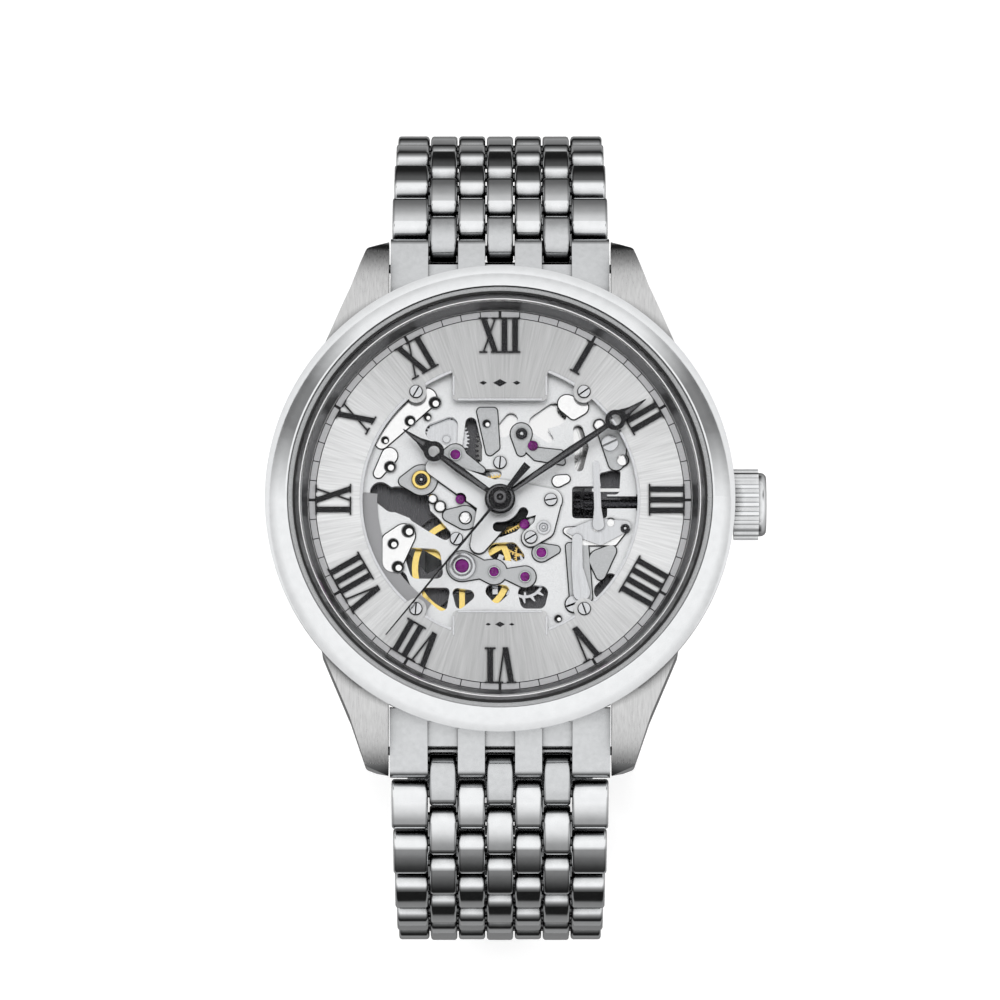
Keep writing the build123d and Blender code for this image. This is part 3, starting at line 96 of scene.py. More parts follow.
def bump(nodes, links, shader, height, strength, distance_mm):
    """Send a height into the shader's normal."""
    node = nodes.new("ShaderNodeBump")
    node.inputs["Strength"].default_value = strength
    node.inputs["Distance"].default_value = distance_mm * MM
    links.new(height, node.inputs["Height"])
    links.new(node.outputs["Normal"], shader.inputs["Normal"])


def arithmetic(nodes, links, operation, *values):
    """One step of arithmetic on sockets and plain numbers."""
    node = nodes.new("ShaderNodeMath")
    node.operation = operation
    for place, value in enumerate(values):
        if isinstance(value, (int, float)):
            node.inputs[place].default_value = value
        else:
            links.new(value, node.inputs[place])
    return node.outputs["Value"]


def blend(nodes, links, factor, first, second, kind="MIX"):
    """Mix two colours, each a socket or a plain colour, by a socket or a plain number."""
    node = nodes.new("ShaderNodeMix")
    node.data_type = "RGBA"
    node.blend_type = kind
    for place, value in ((0, factor), (6, first), (7, second)):
        if isinstance(value, (int, float, tuple)):
            node.inputs[place].default_value = value
        else:
            links.new(value, node.inputs[place])
    return node.outputs[2]


def facing_up(nodes, links):
    """How far the surface faces up, from -1 to 1."""
    normal = nodes.new("ShaderNodeSeparateXYZ")
    links.new(nodes.new("ShaderNodeTexCoord").outputs["Normal"], normal.inputs["Vector"])
    return normal.outputs["Z"]


def crevice(nodes, reach_mm):
    """How open the surface is: 1 on open faces, towards 0 in slots, gaps and under overhangs."""
    node = nodes.new("ShaderNodeAmbientOcclusion")
    node.samples = 4
    node.inputs["Distance"].default_value = reach_mm * MM
    return node.outputs["AO"]


def shaded(nodes, links, colour, openness, floor_share):
    """Multiply a colour by how open the surface is, so that painted shade gathers in the corners."""
    shade = ramp(nodes, links, openness, (0.35, floor_share), (0.92, 1.0))
    return blend(nodes, links, 1.0, colour, shade, "MULTIPLY")


def metal(name, colour, roughness, spread=0.03, grain=4.0, stretch=(1, 1, 1), strength=0.05, depth=0.01,
          tint=0.06, reach=0.5, corner=0.15):
    """Metal whose colour, roughness and surface vary with a grain that can be stretched into brushing."""
    material, nodes, links, shader = new_material(name)
    shader.inputs["Metallic"].default_value = 1.0
    fac = noise(nodes, links, grain, stretch)
    dark = tuple(channel * (1 - tint) for channel in colour)
    light = tuple(min(1.0, channel * (1 + tint)) for channel in colour)
    tone = ramp(nodes, links, fac, (0.3, dark), (0.7, light))
    # Painted shade: the colour darkens in slots, gaps and under overhangs, down to corner times itself within
    # reach millimetres.
    links.new(shaded(nodes, links, tone, crevice(nodes, reach), corner), shader.inputs["Base Color"])
    links.new(
        ramp(nodes, links, fac, (0.25, max(0.0, roughness - spread)), (0.75, roughness + spread)),
        shader.inputs["Roughness"],
    )
    bump(nodes, links, shader, fac, strength, depth)
    return material


def polar_source(nodes, links):
    """Object position turned into (angle, radius, height), for rays that run out from the centre."""
    place = nodes.new("ShaderNodeTexCoord").outputs["Object"]
    split = nodes.new("ShaderNodeSeparateXYZ")
    links.new(place, split.inputs["Vector"])
    angle = arithmetic(nodes, links, "ARCTAN2", split.outputs["Y"], split.outputs["X"])
    length = nodes.new("ShaderNodeVectorMath")
    length.operation = "LENGTH"
    links.new(place, length.inputs[0])
    join = nodes.new("ShaderNodeCombineXYZ")
    links.new(angle, join.inputs["X"])
    links.new(length.outputs["Value"], join.inputs["Y"])
    return join.outputs["Vector"]


def sunray(name, colour, roughness):
    """Silver dial finish: fine rays brushed out from the centre, with a painted sheen lighter towards 3 and 9
    o'clock and painted shade in the corners.
    """
    material, nodes, links, shader = new_material(name)
    shader.inputs["Metallic"].default_value = 0.85
    polar = polar_source(nodes, links)
    rays = noise(nodes, links, 1.0, (0.09, 0.25, 1), 6.0, polar)
    broad = noise(nodes, links, 1.0, (0.002, 0.02, 1), 2.0, polar)
    fac = arithmetic(nodes, links, "MULTIPLY_ADD", rays, 0.6, arithmetic(nodes, links, "MULTIPLY", broad, 0.4))
    dark = tuple(channel * 0.72 for channel in colour)
    tone = ramp(nodes, links, fac, (0.36, dark), (0.64, colour))
    # Painted sheen: the colour is lighter towards 3 and 9 o'clock and darker towards 12 and 6, as if the brushed
    # rays caught the light.
    polar_parts = nodes.new("ShaderNodeSeparateXYZ")
    links.new(polar, polar_parts.inputs["Vector"])
    lobe = arithmetic(nodes, links, "COSINE", arithmetic(nodes, links, "MULTIPLY", polar_parts.outputs["X"], 2.0))
    bow = arithmetic(nodes, links, "MULTIPLY_ADD", lobe, 0.5, 0.5)
    sheen = ramp(nodes, links, bow, (0.0, 0.66), (1.0, 1.0))
    lit = blend(nodes, links, 1.0, tone, sheen, "MULTIPLY")
    # Painted shade in slots, gaps and under overhangs.
    links.new(shaded(nodes, links, lit, crevice(nodes, 0.25), 0.35), shader.inputs["Base Color"])
    rough = ramp(nodes, links, fac, (0.3, roughness - 0.05), (0.7, roughness + 0.05))
    links.new(rough, shader.inputs["Roughness"])
    bump(nodes, links, shader, rays, 0.12, 0.01)
    return material


def lacquer(name, colour, roughness, gloss=0.25):
    """Lacquer or rubber with a faint unevenness; gloss is the strength of its reflections."""
    material, nodes, links, shader = new_material(name)
    fac = noise(nodes, links, 1.5)
    light = tuple(channel * 1.6 + 0.003 for channel in colour)
    links.new(ramp(nodes, links, fac, (0.3, colour), (0.75, light)), shader.inputs["Base Color"])
    links.new(ramp(nodes, links, fac, (0.3, roughness), (0.8, roughness + 0.06)), shader.inputs["Roughness"])
    shader.inputs["Specular IOR Level"].default_value = gloss
    bump(nodes, links, shader, fac, 0.04, 0.01)
    return material


def two_faced(name, front, rear, roughness):
    """Bridge steel: striped and bright towards the back window, dark where the dial side sees it."""
    material, nodes, links, shader = new_material(name)
    shader.inputs["Metallic"].default_value = 1.0
    place = nodes.new("ShaderNodeTexCoord").outputs["Object"]
    stripes = nodes.new("ShaderNodeTexWave")
    stripes.wave_type = "BANDS"
    stripes.bands_direction = "DIAGONAL"
    stripes.inputs["Scale"].default_value = 0.16
    scaled = nodes.new("ShaderNodeMapping")
    scaled.inputs["Scale"].default_value = (1 / MM, 1 / MM, 1 / MM)
    links.new(place, scaled.inputs["Vector"])
    links.new(scaled.outputs["Vector"], stripes.inputs["Vector"])
    grain = noise(nodes, links, 8.0, (1, 0.1, 1))
    bright = ramp(nodes, links, stripes.outputs["Fac"], (0.0, tuple(c * 0.8 for c in rear)), (1.0, rear))
    side = ramp(nodes, links, facing_up(nodes, links), (0.2, 0.0), (0.5, 1.0))
    dark = ramp(nodes, links, grain, (0.3, front), (0.7, tuple(c * 1.3 for c in front)))
    links.new(blend(nodes, links, side, bright, dark), shader.inputs["Base Color"])
    rough = ramp(nodes, links, grain, (0.3, roughness - 0.05), (0.7, roughness + 0.05))
    links.new(rough, shader.inputs["Roughness"])
    bump(nodes, links, shader, grain, 0.08, 0.01)
    return material


def case_finish(name):
    """Case steel: brushed along the lugs where it faces up, polished on its flanks."""
    material, nodes, links, shader = new_material(name)
    shader.inputs["Metallic"].default_value = 1.0
    flat = ramp(nodes, links, facing_up(nodes, links), (0.55, 0.0), (0.62, 1.0))
    grain = noise(nodes, links, 9.0, (1.0, 0.02, 0.3))
    brushed = ramp(nodes, links, grain, (0.3, 0.50), (0.7, 0.64))
    tone = blend(nodes, links, flat, (0.78, 0.79, 0.80, 1.0), brushed)
    # Painted shade: the colour darkens into slots and gaps within 1 mm, nearly to black.
    links.new(shaded(nodes, links, tone, crevice(nodes, 1.0), 0.05), shader.inputs["Base Color"])
    gloss = nodes.new("ShaderNodeMix")
    gloss.data_type = "FLOAT"
    gloss.inputs[2].default_value = 0.09
    links.new(flat, gloss.inputs[0])
    links.new(ramp(nodes, links, grain, (0.3, 0.26), (0.7, 0.38)), gloss.inputs[3])
    links.new(gloss.outputs[0], shader.inputs["Roughness"])
    bump(nodes, links, shader, arithmetic(nodes, links, "MULTIPLY", flat, grain), 0.1, 0.004)
    return material


DRUM_REACH = 5.2  # millimetres from the barrel's axis to the tips of its teeth, for the shading


def barrel_finish(name):
    """Barrel drum: a polished lid with fine circles, darker at the teeth."""
    material, nodes, links, shader = new_material(name)
    shader.inputs["Metallic"].default_value = 1.0
    place = nodes.new("ShaderNodeTexCoord").outputs["Object"]
    offset = nodes.new("ShaderNodeVectorMath")
    offset.operation = "SUBTRACT"
    offset.inputs[1].default_value = (barrel_axis[0], barrel_axis[1], 0.0)
    flat = nodes.new("ShaderNodeVectorMath")
    flat.operation = "MULTIPLY"
    flat.inputs[1].default_value = (1 / MM, 1 / MM, 0.0)
    reach = nodes.new("ShaderNodeVectorMath")
    reach.operation = "LENGTH"
    links.new(place, offset.inputs[0])
    links.new(offset.outputs["Vector"], flat.inputs[0])
    links.new(flat.outputs["Vector"], reach.inputs[0])
    share = arithmetic(nodes, links, "DIVIDE", reach.outputs["Value"], DRUM_REACH)
    tone = ramp(nodes, links, share, (0.0, 0.9), (0.84, 0.88), (0.87, 0.2), (1.0, 0.12))
    # Painted shade in slots and gaps, within 0.4 mm.
    links.new(shaded(nodes, links, tone, crevice(nodes, 0.4), 0.4), shader.inputs["Base Color"])
    grain = noise(nodes, links, 6.0)
    links.new(ramp(nodes, links, grain, (0.3, 0.1), (0.7, 0.2)), shader.inputs["Roughness"])
    bump(nodes, links, shader, grain, 0.05, 0.01)
    return material


def clear(name, alpha):
    """Sapphire crystal: almost invisible, with a faint sheen that varies slightly."""
    material, nodes, links, shader = new_material(name)
    fac = noise(nodes, links, 0.2)
    tone = ramp(nodes, links, fac, (0.3, (0.02, 0.02, 0.02)), (0.7, (0.03, 0.03, 0.035)))
    links.new(tone, shader.inputs["Base Color"])
    links.new(ramp(nodes, links, fac, (0.3, 0.02), (0.7, 0.04)), shader.inputs["Roughness"])
    shader.inputs["Alpha"].default_value = alpha
    shader.inputs["IOR"].default_value = 1.77
    return material


def gem(name):
    """Synthetic ruby: deep purple, darker and lighter at random, with a polished face."""
    material, nodes, links, shader = new_material(name)
    fac = noise(nodes, links, 1.2, detail=2.0)
    tone = ramp(nodes, links, fac, (0.3, (0.07, 0.0, 0.065)), (0.7, (0.22, 0.005, 0.22)))
    links.new(tone, shader.inputs["Base Color"])
    links.new(ramp(nodes, links, fac, (0.3, 0.04), (0.7, 0.09)), shader.inputs["Roughness"])
    shader.inputs["Specular IOR Level"].default_value = 0.35
    return material


STEEL = (0.80, 0.81, 0.82)
# Every metal finish here and below darkens its colour into painted shade in slots, gaps and under overhangs;
# reach and corner, the last two numbers where given, set how far that reaches in millimetres and how much colour
# is left in the darkest corners.
FINISH = {
    "polished_steel": metal("polished_steel", STEEL, 0.08, 0.03, 1.2, (1, 1, 1), 0.03, 0.01, 0.03, 1.2, 0.08),
    "brushed_steel": metal("brushed_steel", (0.62, 0.63, 0.64), 0.30, 0.08, 6.0, (1.0, 0.03, 1.0), 0.25, 0.01),
    "crystal_glass": clear("crystal_glass", 0.03),
    "seal_rubber": lacquer("seal_rubber", (0.01, 0.01, 0.01), 0.6),
    "flange_grey": metal(
        "flange_grey", (0.20, 0.20, 0.205), 0.36, 0.05, 3.0, (1, 1, 1), 0.1, 0.01, 0.06, 0.3, 0.85,
    ),
    "dial_silver": sunray("dial_silver", (0.88, 0.885, 0.89), 0.34),
    "gloss_black": lacquer("gloss_black", (0.003, 0.003, 0.004), 0.12),
    "frosted_plate": metal(
        "frosted_plate", (0.80, 0.81, 0.82), 0.34, 0.08, 12.0, (1, 1, 1), 0.6, 0.015, 0.14, 0.35, 0.02,
    ),
    "ruby": gem("ruby"),
    "screw_steel": metal(
        "screw_steel", (0.66, 0.67, 0.69), 0.16, 0.05, 5.0, (1, 0.1, 1), 0.1, 0.01, 0.06, 0.3, 0.02,
    ),
    "dark_steel": metal("dark_steel", (0.05, 0.05, 0.055), 0.26, 0.08, 5.0),
    "brass": metal("brass", (0.85, 0.60, 0.20), 0.22, 0.06, 6.0, (1, 1, 1), 0.1, 0.01, 0.06, 0.3, 0.2),
    "gold_balance": metal(
        "gold_balance", (0.95, 0.72, 0.24), 0.16, 0.05, 5.0, (1, 1, 1), 0.08, 0.01, 0.06, 0.3, 0.4,
    ),
    "rotor_steel": two_faced("rotor_steel", (0.10, 0.10, 0.105), (0.74, 0.75, 0.76), 0.26),
}
POLISHED_PLATE = metal(
    "polished_plate", (0.95, 0.95, 0.95), 0.10, 0.04, 3.0, (1, 1, 1), 0.03, 0.01, 0.03, 0.3, 0.05,
)
GREY_PLATE = metal("grey_plate", (0.52, 0.53, 0.54), 0.34, 0.08, 12.0, (1, 1, 1), 0.6, 0.015, 0.16, 0.3, 0.03)
# Near-black for painted shade: shadow lines round plates and at the foot of the bridge, discs in holes, rings
# round pins and floors in screw slots.
SHADE_BLACK = metal("outline", (0.02, 0.02, 0.02), 0.4)
POLISHED_BLACK = metal("polished_black", (0.13, 0.13, 0.135), 0.10, 0.04, 2.0)
LIP_STEEL = metal("lip_steel", (0.93, 0.93, 0.93), 0.14, 0.04, 3.0, (1, 1, 1), 0.03, 0.01, 0.03, 0.3, 1.0)
TRACK_GREY = metal("track_grey", (0.46, 0.46, 0.47), 0.32, 0.05, 6.0, (1, 1, 1), 0.03, 0.01, 0.05, 0.3, 0.6)
BRIDGE = two_faced("bridge_steel", (0.09, 0.09, 0.095), (0.78, 0.79, 0.80), 0.3)
BARREL = barrel_finish("barrel_steel")
# End links: darker steel than the bezel, with painted shade that reaches 2.2 mm into the gaps by the bezel and
# between parts and darkens them nearly to black.
END_LINK = metal("end_link_steel", (0.60, 0.61, 0.62), 0.15, 0.04, 2.0, (1, 1, 1), 0.05, 0.01, 0.05, 2.2, 0.03)
OWN_FINISH = {
    "train_bridge": BRIDGE, "balance_cock": BRIDGE, "mainspring_barrel": BARREL,
    "case_middle": case_finish("case_steel"), "end_links": END_LINK,
}

slots = {part["node"]: part["material_slot"] for part in frame["record"]["subparts"]}
for node, piece in frame["nodes"].items():
    for place in piece.material_slots:
        place.material = OWN_FINISH.get(node, FINISH[slots[node]])


# ---------------------------------------------------------------- mesh helpers

SHARP_ANGLE = radians(35)


def finish_piece(name, mesh_source, material, body="case", smooth=True):
    """Turn a bmesh into a named piece that rides on a body."""
    mesh = bpy.data.meshes.new(name)
    bmesh.ops.recalc_face_normals(mesh_source, faces=mesh_source.faces)
    mesh_source.to_mesh(mesh)
    mesh_source.free()
    piece = bpy.data.objects.new(name, mesh)
    bpy.context.scene.collection.objects.link(piece)
    mesh.materials.append(material)
    if smooth:
        for polygon in mesh.polygons:
            polygon.use_smooth = True
        mesh.set_sharp_from_angle(angle=SHARP_ANGLE)
    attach(piece, body)


def add_prism(source, outline, low, high):
    """Add an upright prism over an outline of (x, y) points."""
    bottom = [source.verts.new((x, y, low)) for x, y in outline]
    top = [source.verts.new((x, y, high)) for x, y in outline]
    source.faces.new(top)
    source.faces.new(reversed(bottom))
    for start in range(len(outline)):
        following = (start + 1) % len(outline)
        source.faces.new((bottom[start], bottom[following], top[following], top[start]))


def add_ring(source, center, profile, segments=96):
    """Turn a closed profile of (radius, height) points about an upright axis."""
    rows = []
    for step in range(segments):
        angle = tau * step / segments
        rows.append([
            source.verts.new((center[0] + r * cos(angle), center[1] + r * sin(angle), z)) for r, z in profile
        ])
    for step in range(segments):
        near, far = rows[step], rows[(step + 1) % segments]
        for corner in range(len(profile)):
            following = (corner + 1) % len(profile)
            source.faces.new((near[corner], far[corner], far[following], near[following]))


def turned(points, angle, shift=(0.0, 0.0)):
    """Turn flat points about the origin and then shift them."""
    return [
        (x * cos(angle) - y * sin(angle) + shift[0], x * sin(angle) + y * cos(angle) + shift[1])
        for x, y in points
    ]


def add_ridge(mesh_source, direction, start, end, half_width, base, rise):
    """Add a low roof that runs out from the centre, narrower at its far end; places in millimetres."""
    flat_points = (
        (start, -half_width), (end, -0.5 * half_width), (end, 0.5 * half_width), (start, half_width),
    )
    lower = [mesh_source.verts.new((x * MM, y * MM, base)) for x, y in turned(flat_points, radians(direction))]
    crest = [
        mesh_source.verts.new((x * MM, y * MM, base + rise * MM))
        for x, y in turned(((start + half_width, 0.0), (end - half_width, 0.0)), radians(direction))
    ]
    for corners in (
        (lower[0], lower[1], crest[1], crest[0]), (lower[2], lower[3], crest[0], crest[1]),
        (lower[1], lower[2], crest[1]), (lower[3], lower[0], crest[0]),
        (lower[3], lower[2], lower[1], lower[0]),
    ):
        mesh_source.faces.new(corners)


# ---------------------------------------------------------------- printed minute track

TRACK_INNER = 16.5 * MM
TRACK_OUTER = 17.1 * MM
LINE = 0.035 * MM
PRINT_HEIGHT = 0.015 * MM
BAND_HEIGHT = 0.4 * PRINT_HEIGHT
TRACK_SEGMENTS = 240
FIVE_MINUTE_HALF, MINUTE_HALF = 0.13 * MM, 0.04 * MM
minute_track = bmesh.new()
for radius in (TRACK_INNER, TRACK_OUTER):
    add_ring(minute_track, (0, 0), [
        (radius - LINE, dial_top), (radius + LINE, dial_top),
        (radius + LINE, dial_top + PRINT_HEIGHT), (radius - LINE, dial_top + PRINT_HEIGHT),
    ], TRACK_SEGMENTS)
track_band = bmesh.new()
add_ring(track_band, (0, 0), [
    (TRACK_INNER, dial_top), (TRACK_OUTER, dial_top),
    (TRACK_OUTER, dial_top + BAND_HEIGHT), (TRACK_INNER, dial_top + BAND_HEIGHT),
], TRACK_SEGMENTS)
finish_piece("track_band", track_band, TRACK_GREY, smooth=False)
for minute in range(60):
    half = FIVE_MINUTE_HALF if minute % 5 == 0 else MINUTE_HALF
    bar = [(TRACK_INNER, -half), (TRACK_OUTER, -half), (TRACK_OUTER, half), (TRACK_INNER, half)]
    add_prism(minute_track, turned(bar, radians(6 * minute)), dial_top, dial_top + PRINT_HEIGHT)
finish_piece("minute_track", minute_track, FINISH["gloss_black"], smooth=False)

# Plain lozenges on the two tabs, in place of any lettering.
ornament = bmesh.new()
for middle_y, size in ((10.6, 1.0), (-11.2, 0.7)):
    for shift, share in ((-1.5, 0.55), (0.0, 1.0), (1.5, 0.55)):
        reach_x, reach_y = 0.62 * size * share, 0.34 * size * share
        lozenge = [(shift * size - reach_x, middle_y), (shift * size, middle_y - reach_y)]
        lozenge += [(shift * size + reach_x, middle_y), (shift * size, middle_y + reach_y)]
        add_prism(ornament, [(x * MM, y * MM) for x, y in lozenge], dial_top, dial_top + PRINT_HEIGHT)
finish_piece("tab_ornament", ornament, FINISH["gloss_black"], smooth=False)


# ---------------------------------------------------------------- movement details, places in millimetres

def circle_points(x, y, radius, count=28):
    """Points round a circle."""
    return [
        (x + radius * cos(tau * step / count), y + radius * sin(tau * step / count)) for step in range(count)
    ]


def hull_points(circles, grow=0.0):
    """Outline in metres round a few circles given in millimetres as x, y, radius."""
    points = sorted({point for x, y, radius in circles for point in circle_points(x, y, radius + grow)})

    def half(ordered):
        chain = []
        for point in ordered:
            while len(chain) > 1 and (
                (chain[-1][0] - chain[-2][0]) * (point[1] - chain[-2][1])
                - (chain[-1][1] - chain[-2][1]) * (point[0] - chain[-2][0])
            ) <= 0:
                chain.pop()
            chain.append(point)
        return chain[:-1]

    return [(x * MM, y * MM) for x, y in half(points) + half(points[::-1])]


STAGGER = 0.006  # how much higher each plate stands than the one before, so that no two tops coincide
FINE_SEGMENTS = 40


def raised_plates(name, shapes, base, rise, material, rim=0.10):
    """Thin plates laid on a surface, each with a dark line of painted shadow round it."""
    plates, shadow_lines = bmesh.new(), bmesh.new()
    for number, circles in enumerate(shapes):
        top = base + (rise + STAGGER * number) * MM
        add_prism(plates, hull_points(circles), base, top)
        add_prism(shadow_lines, hull_points(circles, rim), base, base + 0.3 * (top - base))
    finish_piece(name, plates, material)
    finish_piece(name + "_lines", shadow_lines, SHADE_BLACK)


def ring_set(name, places, base, profile, material, body="case"):
    """Small turned pieces: profile gives (share of the radius, height in mm) from the bore outwards."""
    source = bmesh.new()
    for x, y, radius in places:
        points = [(share * radius * MM, base + height * MM) for share, height in profile]
        add_ring(source, (x * MM, y * MM), points, FINE_SEGMENTS)
    finish_piece(name, source, material, body=body)


def disc_set(name, places, base, height, material):
    """Small flat discs."""
    source = bmesh.new()
    for x, y, radius in places:
        rim = [(px * MM, py * MM) for px, py in circle_points(x, y, radius, FINE_SEGMENTS)]
        add_prism(source, rim, base, base + height * MM)
    finish_piece(name, source, material)


GREY_SHAPES = (
    ((-4.0, 4.3, 0.95), (-5.6, 3.6, 0.5)),
    ((-4.0, 4.3, 0.7), (-2.9, 3.3, 0.35), (-1.6, 2.9, 0.25)),
    ((-0.9, 4.6, 0.35), (-1.7, 8.2, 0.35), (-0.6, 8.2, 0.35), (-0.4, 5.0, 0.35)),
    ((1.9, 6.2, 0.95), (1.9, 4.6, 0.4)),
    ((2.6, 4.7, 0.3), (5.4, 4.4, 0.3), (5.6, 3.6, 0.2), (3.2, 4.0, 0.2)),
    ((-7.0, 2.0, 1.35), (-8.6, 1.9, 0.45)),
    ((-3.4, -5.78, 1.35), (-2.0, -6.0, 0.9)),
    ((-0.53, -6.3, 1.12), (-2.2, -6.0, 0.6)),
    ((2.24, -6.75, 0.95), (0.6, -6.5, 0.45)),
    ((3.7, -4.56, 0.8), (5.0, -4.3, 0.35)),
    ((-3.1, -1.4, 1.05), (-4.6, -1.2, 0.5)),
    ((6.2, -4.0, 0.3), (7.6, -4.0, 0.3), (7.9, -8.6, 0.35), (6.6, -8.6, 0.35)),
    ((8.9, -5.2, 0.9), (9.9, -4.4, 0.5), (9.0, -6.6, 0.4)),
    ((10.3, 5.4, 1.1), (10.4, 3.6, 0.7), (9.2, 6.6, 0.5)),
)
raised_plates("grey_plates", GREY_SHAPES, plate_top, 0.10, GREY_PLATE)

POLISHED_SHAPES = (
    ((-8.6, 7.6, 0.9), (-6.6, 9.4, 0.9), (-10.6, 5.4, 0.55)),
    ((-9.9, 4.2, 0.7), (-10.9, 2.6, 0.4)),
    ((-8.6, -3.0, 1.0), (-9.6, -5.4, 0.9), (-9.9, -3.4, 0.6)),
    ((0.3, -10.4, 0.5), (-2.8, -10.3, 0.4)),
    ((6.0, 8.9, 0.8), (7.2, 8.6, 0.7), (6.6, 7.9, 0.4)),
    ((6.0, -2.6, 0.3), (11.0, -2.4, 0.4), (10.2, -3.6, 0.3), (7.4, -3.6, 0.3)),
    ((5.2, 1.9, 0.5), (5.9, 2.1, 0.35)),
)
raised_plates("polished_plates", POLISHED_SHAPES, plate_top, 0.14, POLISHED_PLATE)

# Painted shadow: dark lines at the foot of the centre bridge.
BRIDGE_ARMS = (
    ((0.0, 0.0, 2.0), (4.55, 0.15, 1.0)), ((4.55, 0.15, 0.95), (3.9, -2.4, 0.95)),
    ((0.0, 0.0, 1.9), (-1.9, -3.9, 0.75)), ((0.0, 0.0, 1.7), (-5.9, 3.1, 0.75)),
    ((3.9, -2.4, 0.95), (2.75, -3.25, 0.8)),
)
foot_shadows = bmesh.new()
for circles in BRIDGE_ARMS:
    add_prism(foot_shadows, hull_points(circles, 0.09), bridge_low - 0.04 * MM, bridge_low)
finish_piece("bridge_foot_shadows", foot_shadows, SHADE_BLACK)

# Grey band that follows the opening at the lower left.
band = bmesh.new()
BAND_START, BAND_END, BAND_STEPS = radians(176), radians(236), 40
BAND_INNER, BAND_OUTER = 11.0 * MM, 12.25 * MM
band_angles = [BAND_START + (BAND_END - BAND_START) * step / BAND_STEPS for step in range(BAND_STEPS + 1)]
band_outline = [(BAND_OUTER * cos(turn), BAND_OUTER * sin(turn)) for turn in band_angles]
band_outline += [(BAND_INNER * cos(turn), BAND_INNER * sin(turn)) for turn in reversed(band_angles)]
add_prism(band, band_outline, plate_top, plate_top + 0.08 * MM)
BAND_GREY = metal("band_grey", (0.36, 0.36, 0.37), 0.35, 0.05, 10.0)
finish_piece("grey_band", band, BAND_GREY)

OPEN_HOLES = (
    (-5.84, 9.0, 0.5), (-8.06, 7.34, 0.45), (-6.5, 7.7, 0.32), (-10.3, 5.6, 0.32), (-9.85, 3.2, 0.48),
    (-8.2, -2.6, 0.55), (-9.56, -3.76, 0.45), (-9.14, -5.86, 0.5), (-1.2, 7.1, 0.33), (5.2, -10.5, 0.3),
    (7.0, -7.6, 0.4),
)
PINS = (
    (-6.04, 0.29, 0.38), (-5.36, -0.39, 0.45), (-3.1, -1.42, 0.5), (8.9, 7.0, 0.45), (10.97, 3.8, 0.5),
    (9.9, -1.9, 0.4), (8.6, -2.4, 0.35), (-1.3, -10.2, 0.3),
)
DARK_STUDS = ((1.94, 6.19, 0.5), (11.2, -2.4, 0.42), (-7.06, 2.02, 0.42))
RECESS_TOP = 0.16
# Painted shade: a dark disc in each hole under a polished floor set off towards the lower right, so that a
# crescent of painted shade shows at its upper left.
disc_set("hole_shadows", OPEN_HOLES, plate_top, 0.17, SHADE_BLACK)
ring_set(
    "hole_edges", OPEN_HOLES, plate_top, [(0.95, 0.0), (1.15, 0.0), (1.15, 0.15), (1.05, 0.2), (0.95, 0.15)],
    GREY_PLATE,
)
disc_set(
    "hole_bottoms", [(x + 0.08, y - 0.08, 0.55 * radius) for x, y, radius in OPEN_HOLES], plate_top, 0.18,
    POLISHED_PLATE,
)
# Painted shade: a flat dark ring round each pin where its recess lies in shadow.
ring_set(
    "pin_recess_shadows", PINS, plate_top, [(1.0, 0.0), (1.22, 0.0), (1.22, RECESS_TOP), (1.0, RECESS_TOP)],
    SHADE_BLACK,
)
PIN_PROFILE = [(0.001, 0.0), (0.98, 0.0), (0.98, 0.26), (0.8, 0.32), (0.001, 0.32)]
ring_set("polished_pins", PINS, plate_top, PIN_PROFILE, POLISHED_PLATE)
ring_set(
    "dark_studs", DARK_STUDS, plate_top,
    [(0.4, 0.0), (1.0, 0.0), (1.0, 0.3), (0.85, 0.4), (0.55, 0.4), (0.4, 0.3)],
    FINISH["dark_steel"],
)
ring_set(
    "stud_centres", DARK_STUDS, plate_top, [(0.001, 0.0), (0.4, 0.0), (0.4, 0.36), (0.25, 0.42), (0.001, 0.42)],
    FINISH["screw_steel"],
)
ring_set(
    "gold_bush", [(-7.06, 2.02, 0.86)], plate_top,
    [(0.60, 0.0), (1.0, 0.0), (1.0, 0.22), (0.92, 0.3), (0.66, 0.3), (0.60, 0.24)],
    FINISH["gold_balance"],
)
ring_set(
    "bridge_stud", [(3.9, -2.36, 0.6)], bridge_top,
    [(0.001, 0.0), (1.0, 0.0), (1.0, 0.12), (0.7, 0.16), (0.6, 0.06), (0.3, 0.06), (0.2, 0.14), (0.001, 0.14)],
    FINISH["screw_steel"],
)

# Shock setting and jewel settings, at the places of the frame's jewels.
SETTING = [(1.0, 0.1), (1.35, 0.1), (1.35, 0.2), (1.25, 0.26), (1.1, 0.26), (1.0, 0.18)]
ring_set(
    "jewel_settings", [(-4.0, 4.3, 0.42), (3.7, -4.56, 0.42), (2.24, -6.75, 0.40), (-0.53, -6.30, 0.40)],
    plate_top, SETTING, FINISH["screw_steel"],
)
ring_set(
    "shock_setting", [(-3.4, -5.78, 0.55)], plate_top,
    [(1.05, 0.1), (2.2, 0.1), (2.2, 0.3), (2.05, 0.36), (1.75, 0.36), (1.7, 0.2), (1.45, 0.2), (1.4, 0.34),
     (1.15, 0.34), (1.05, 0.25)],
    FINISH["screw_steel"],
)

JEWEL_FACES = (
    (2.95, 5.10, 0.45), (2.20, -2.00, 0.44), (3.7, -4.56, 0.44), (2.24, -6.75, 0.42), (-0.53, -6.30, 0.42),
    (-3.4, -5.78, 0.58), (-4.0, 4.3, 0.44), (-3.55, 0.25, 0.42),
)
DOME = [
    (0.001, 0.0), (1.0, 0.0), (1.0, 0.20), (0.86, 0.27), (0.6, 0.31), (0.3, 0.30), (0.12, 0.26), (0.001, 0.26),
]
ring_set("jewel_faces", JEWEL_FACES, plate_top, DOME, FINISH["ruby"])

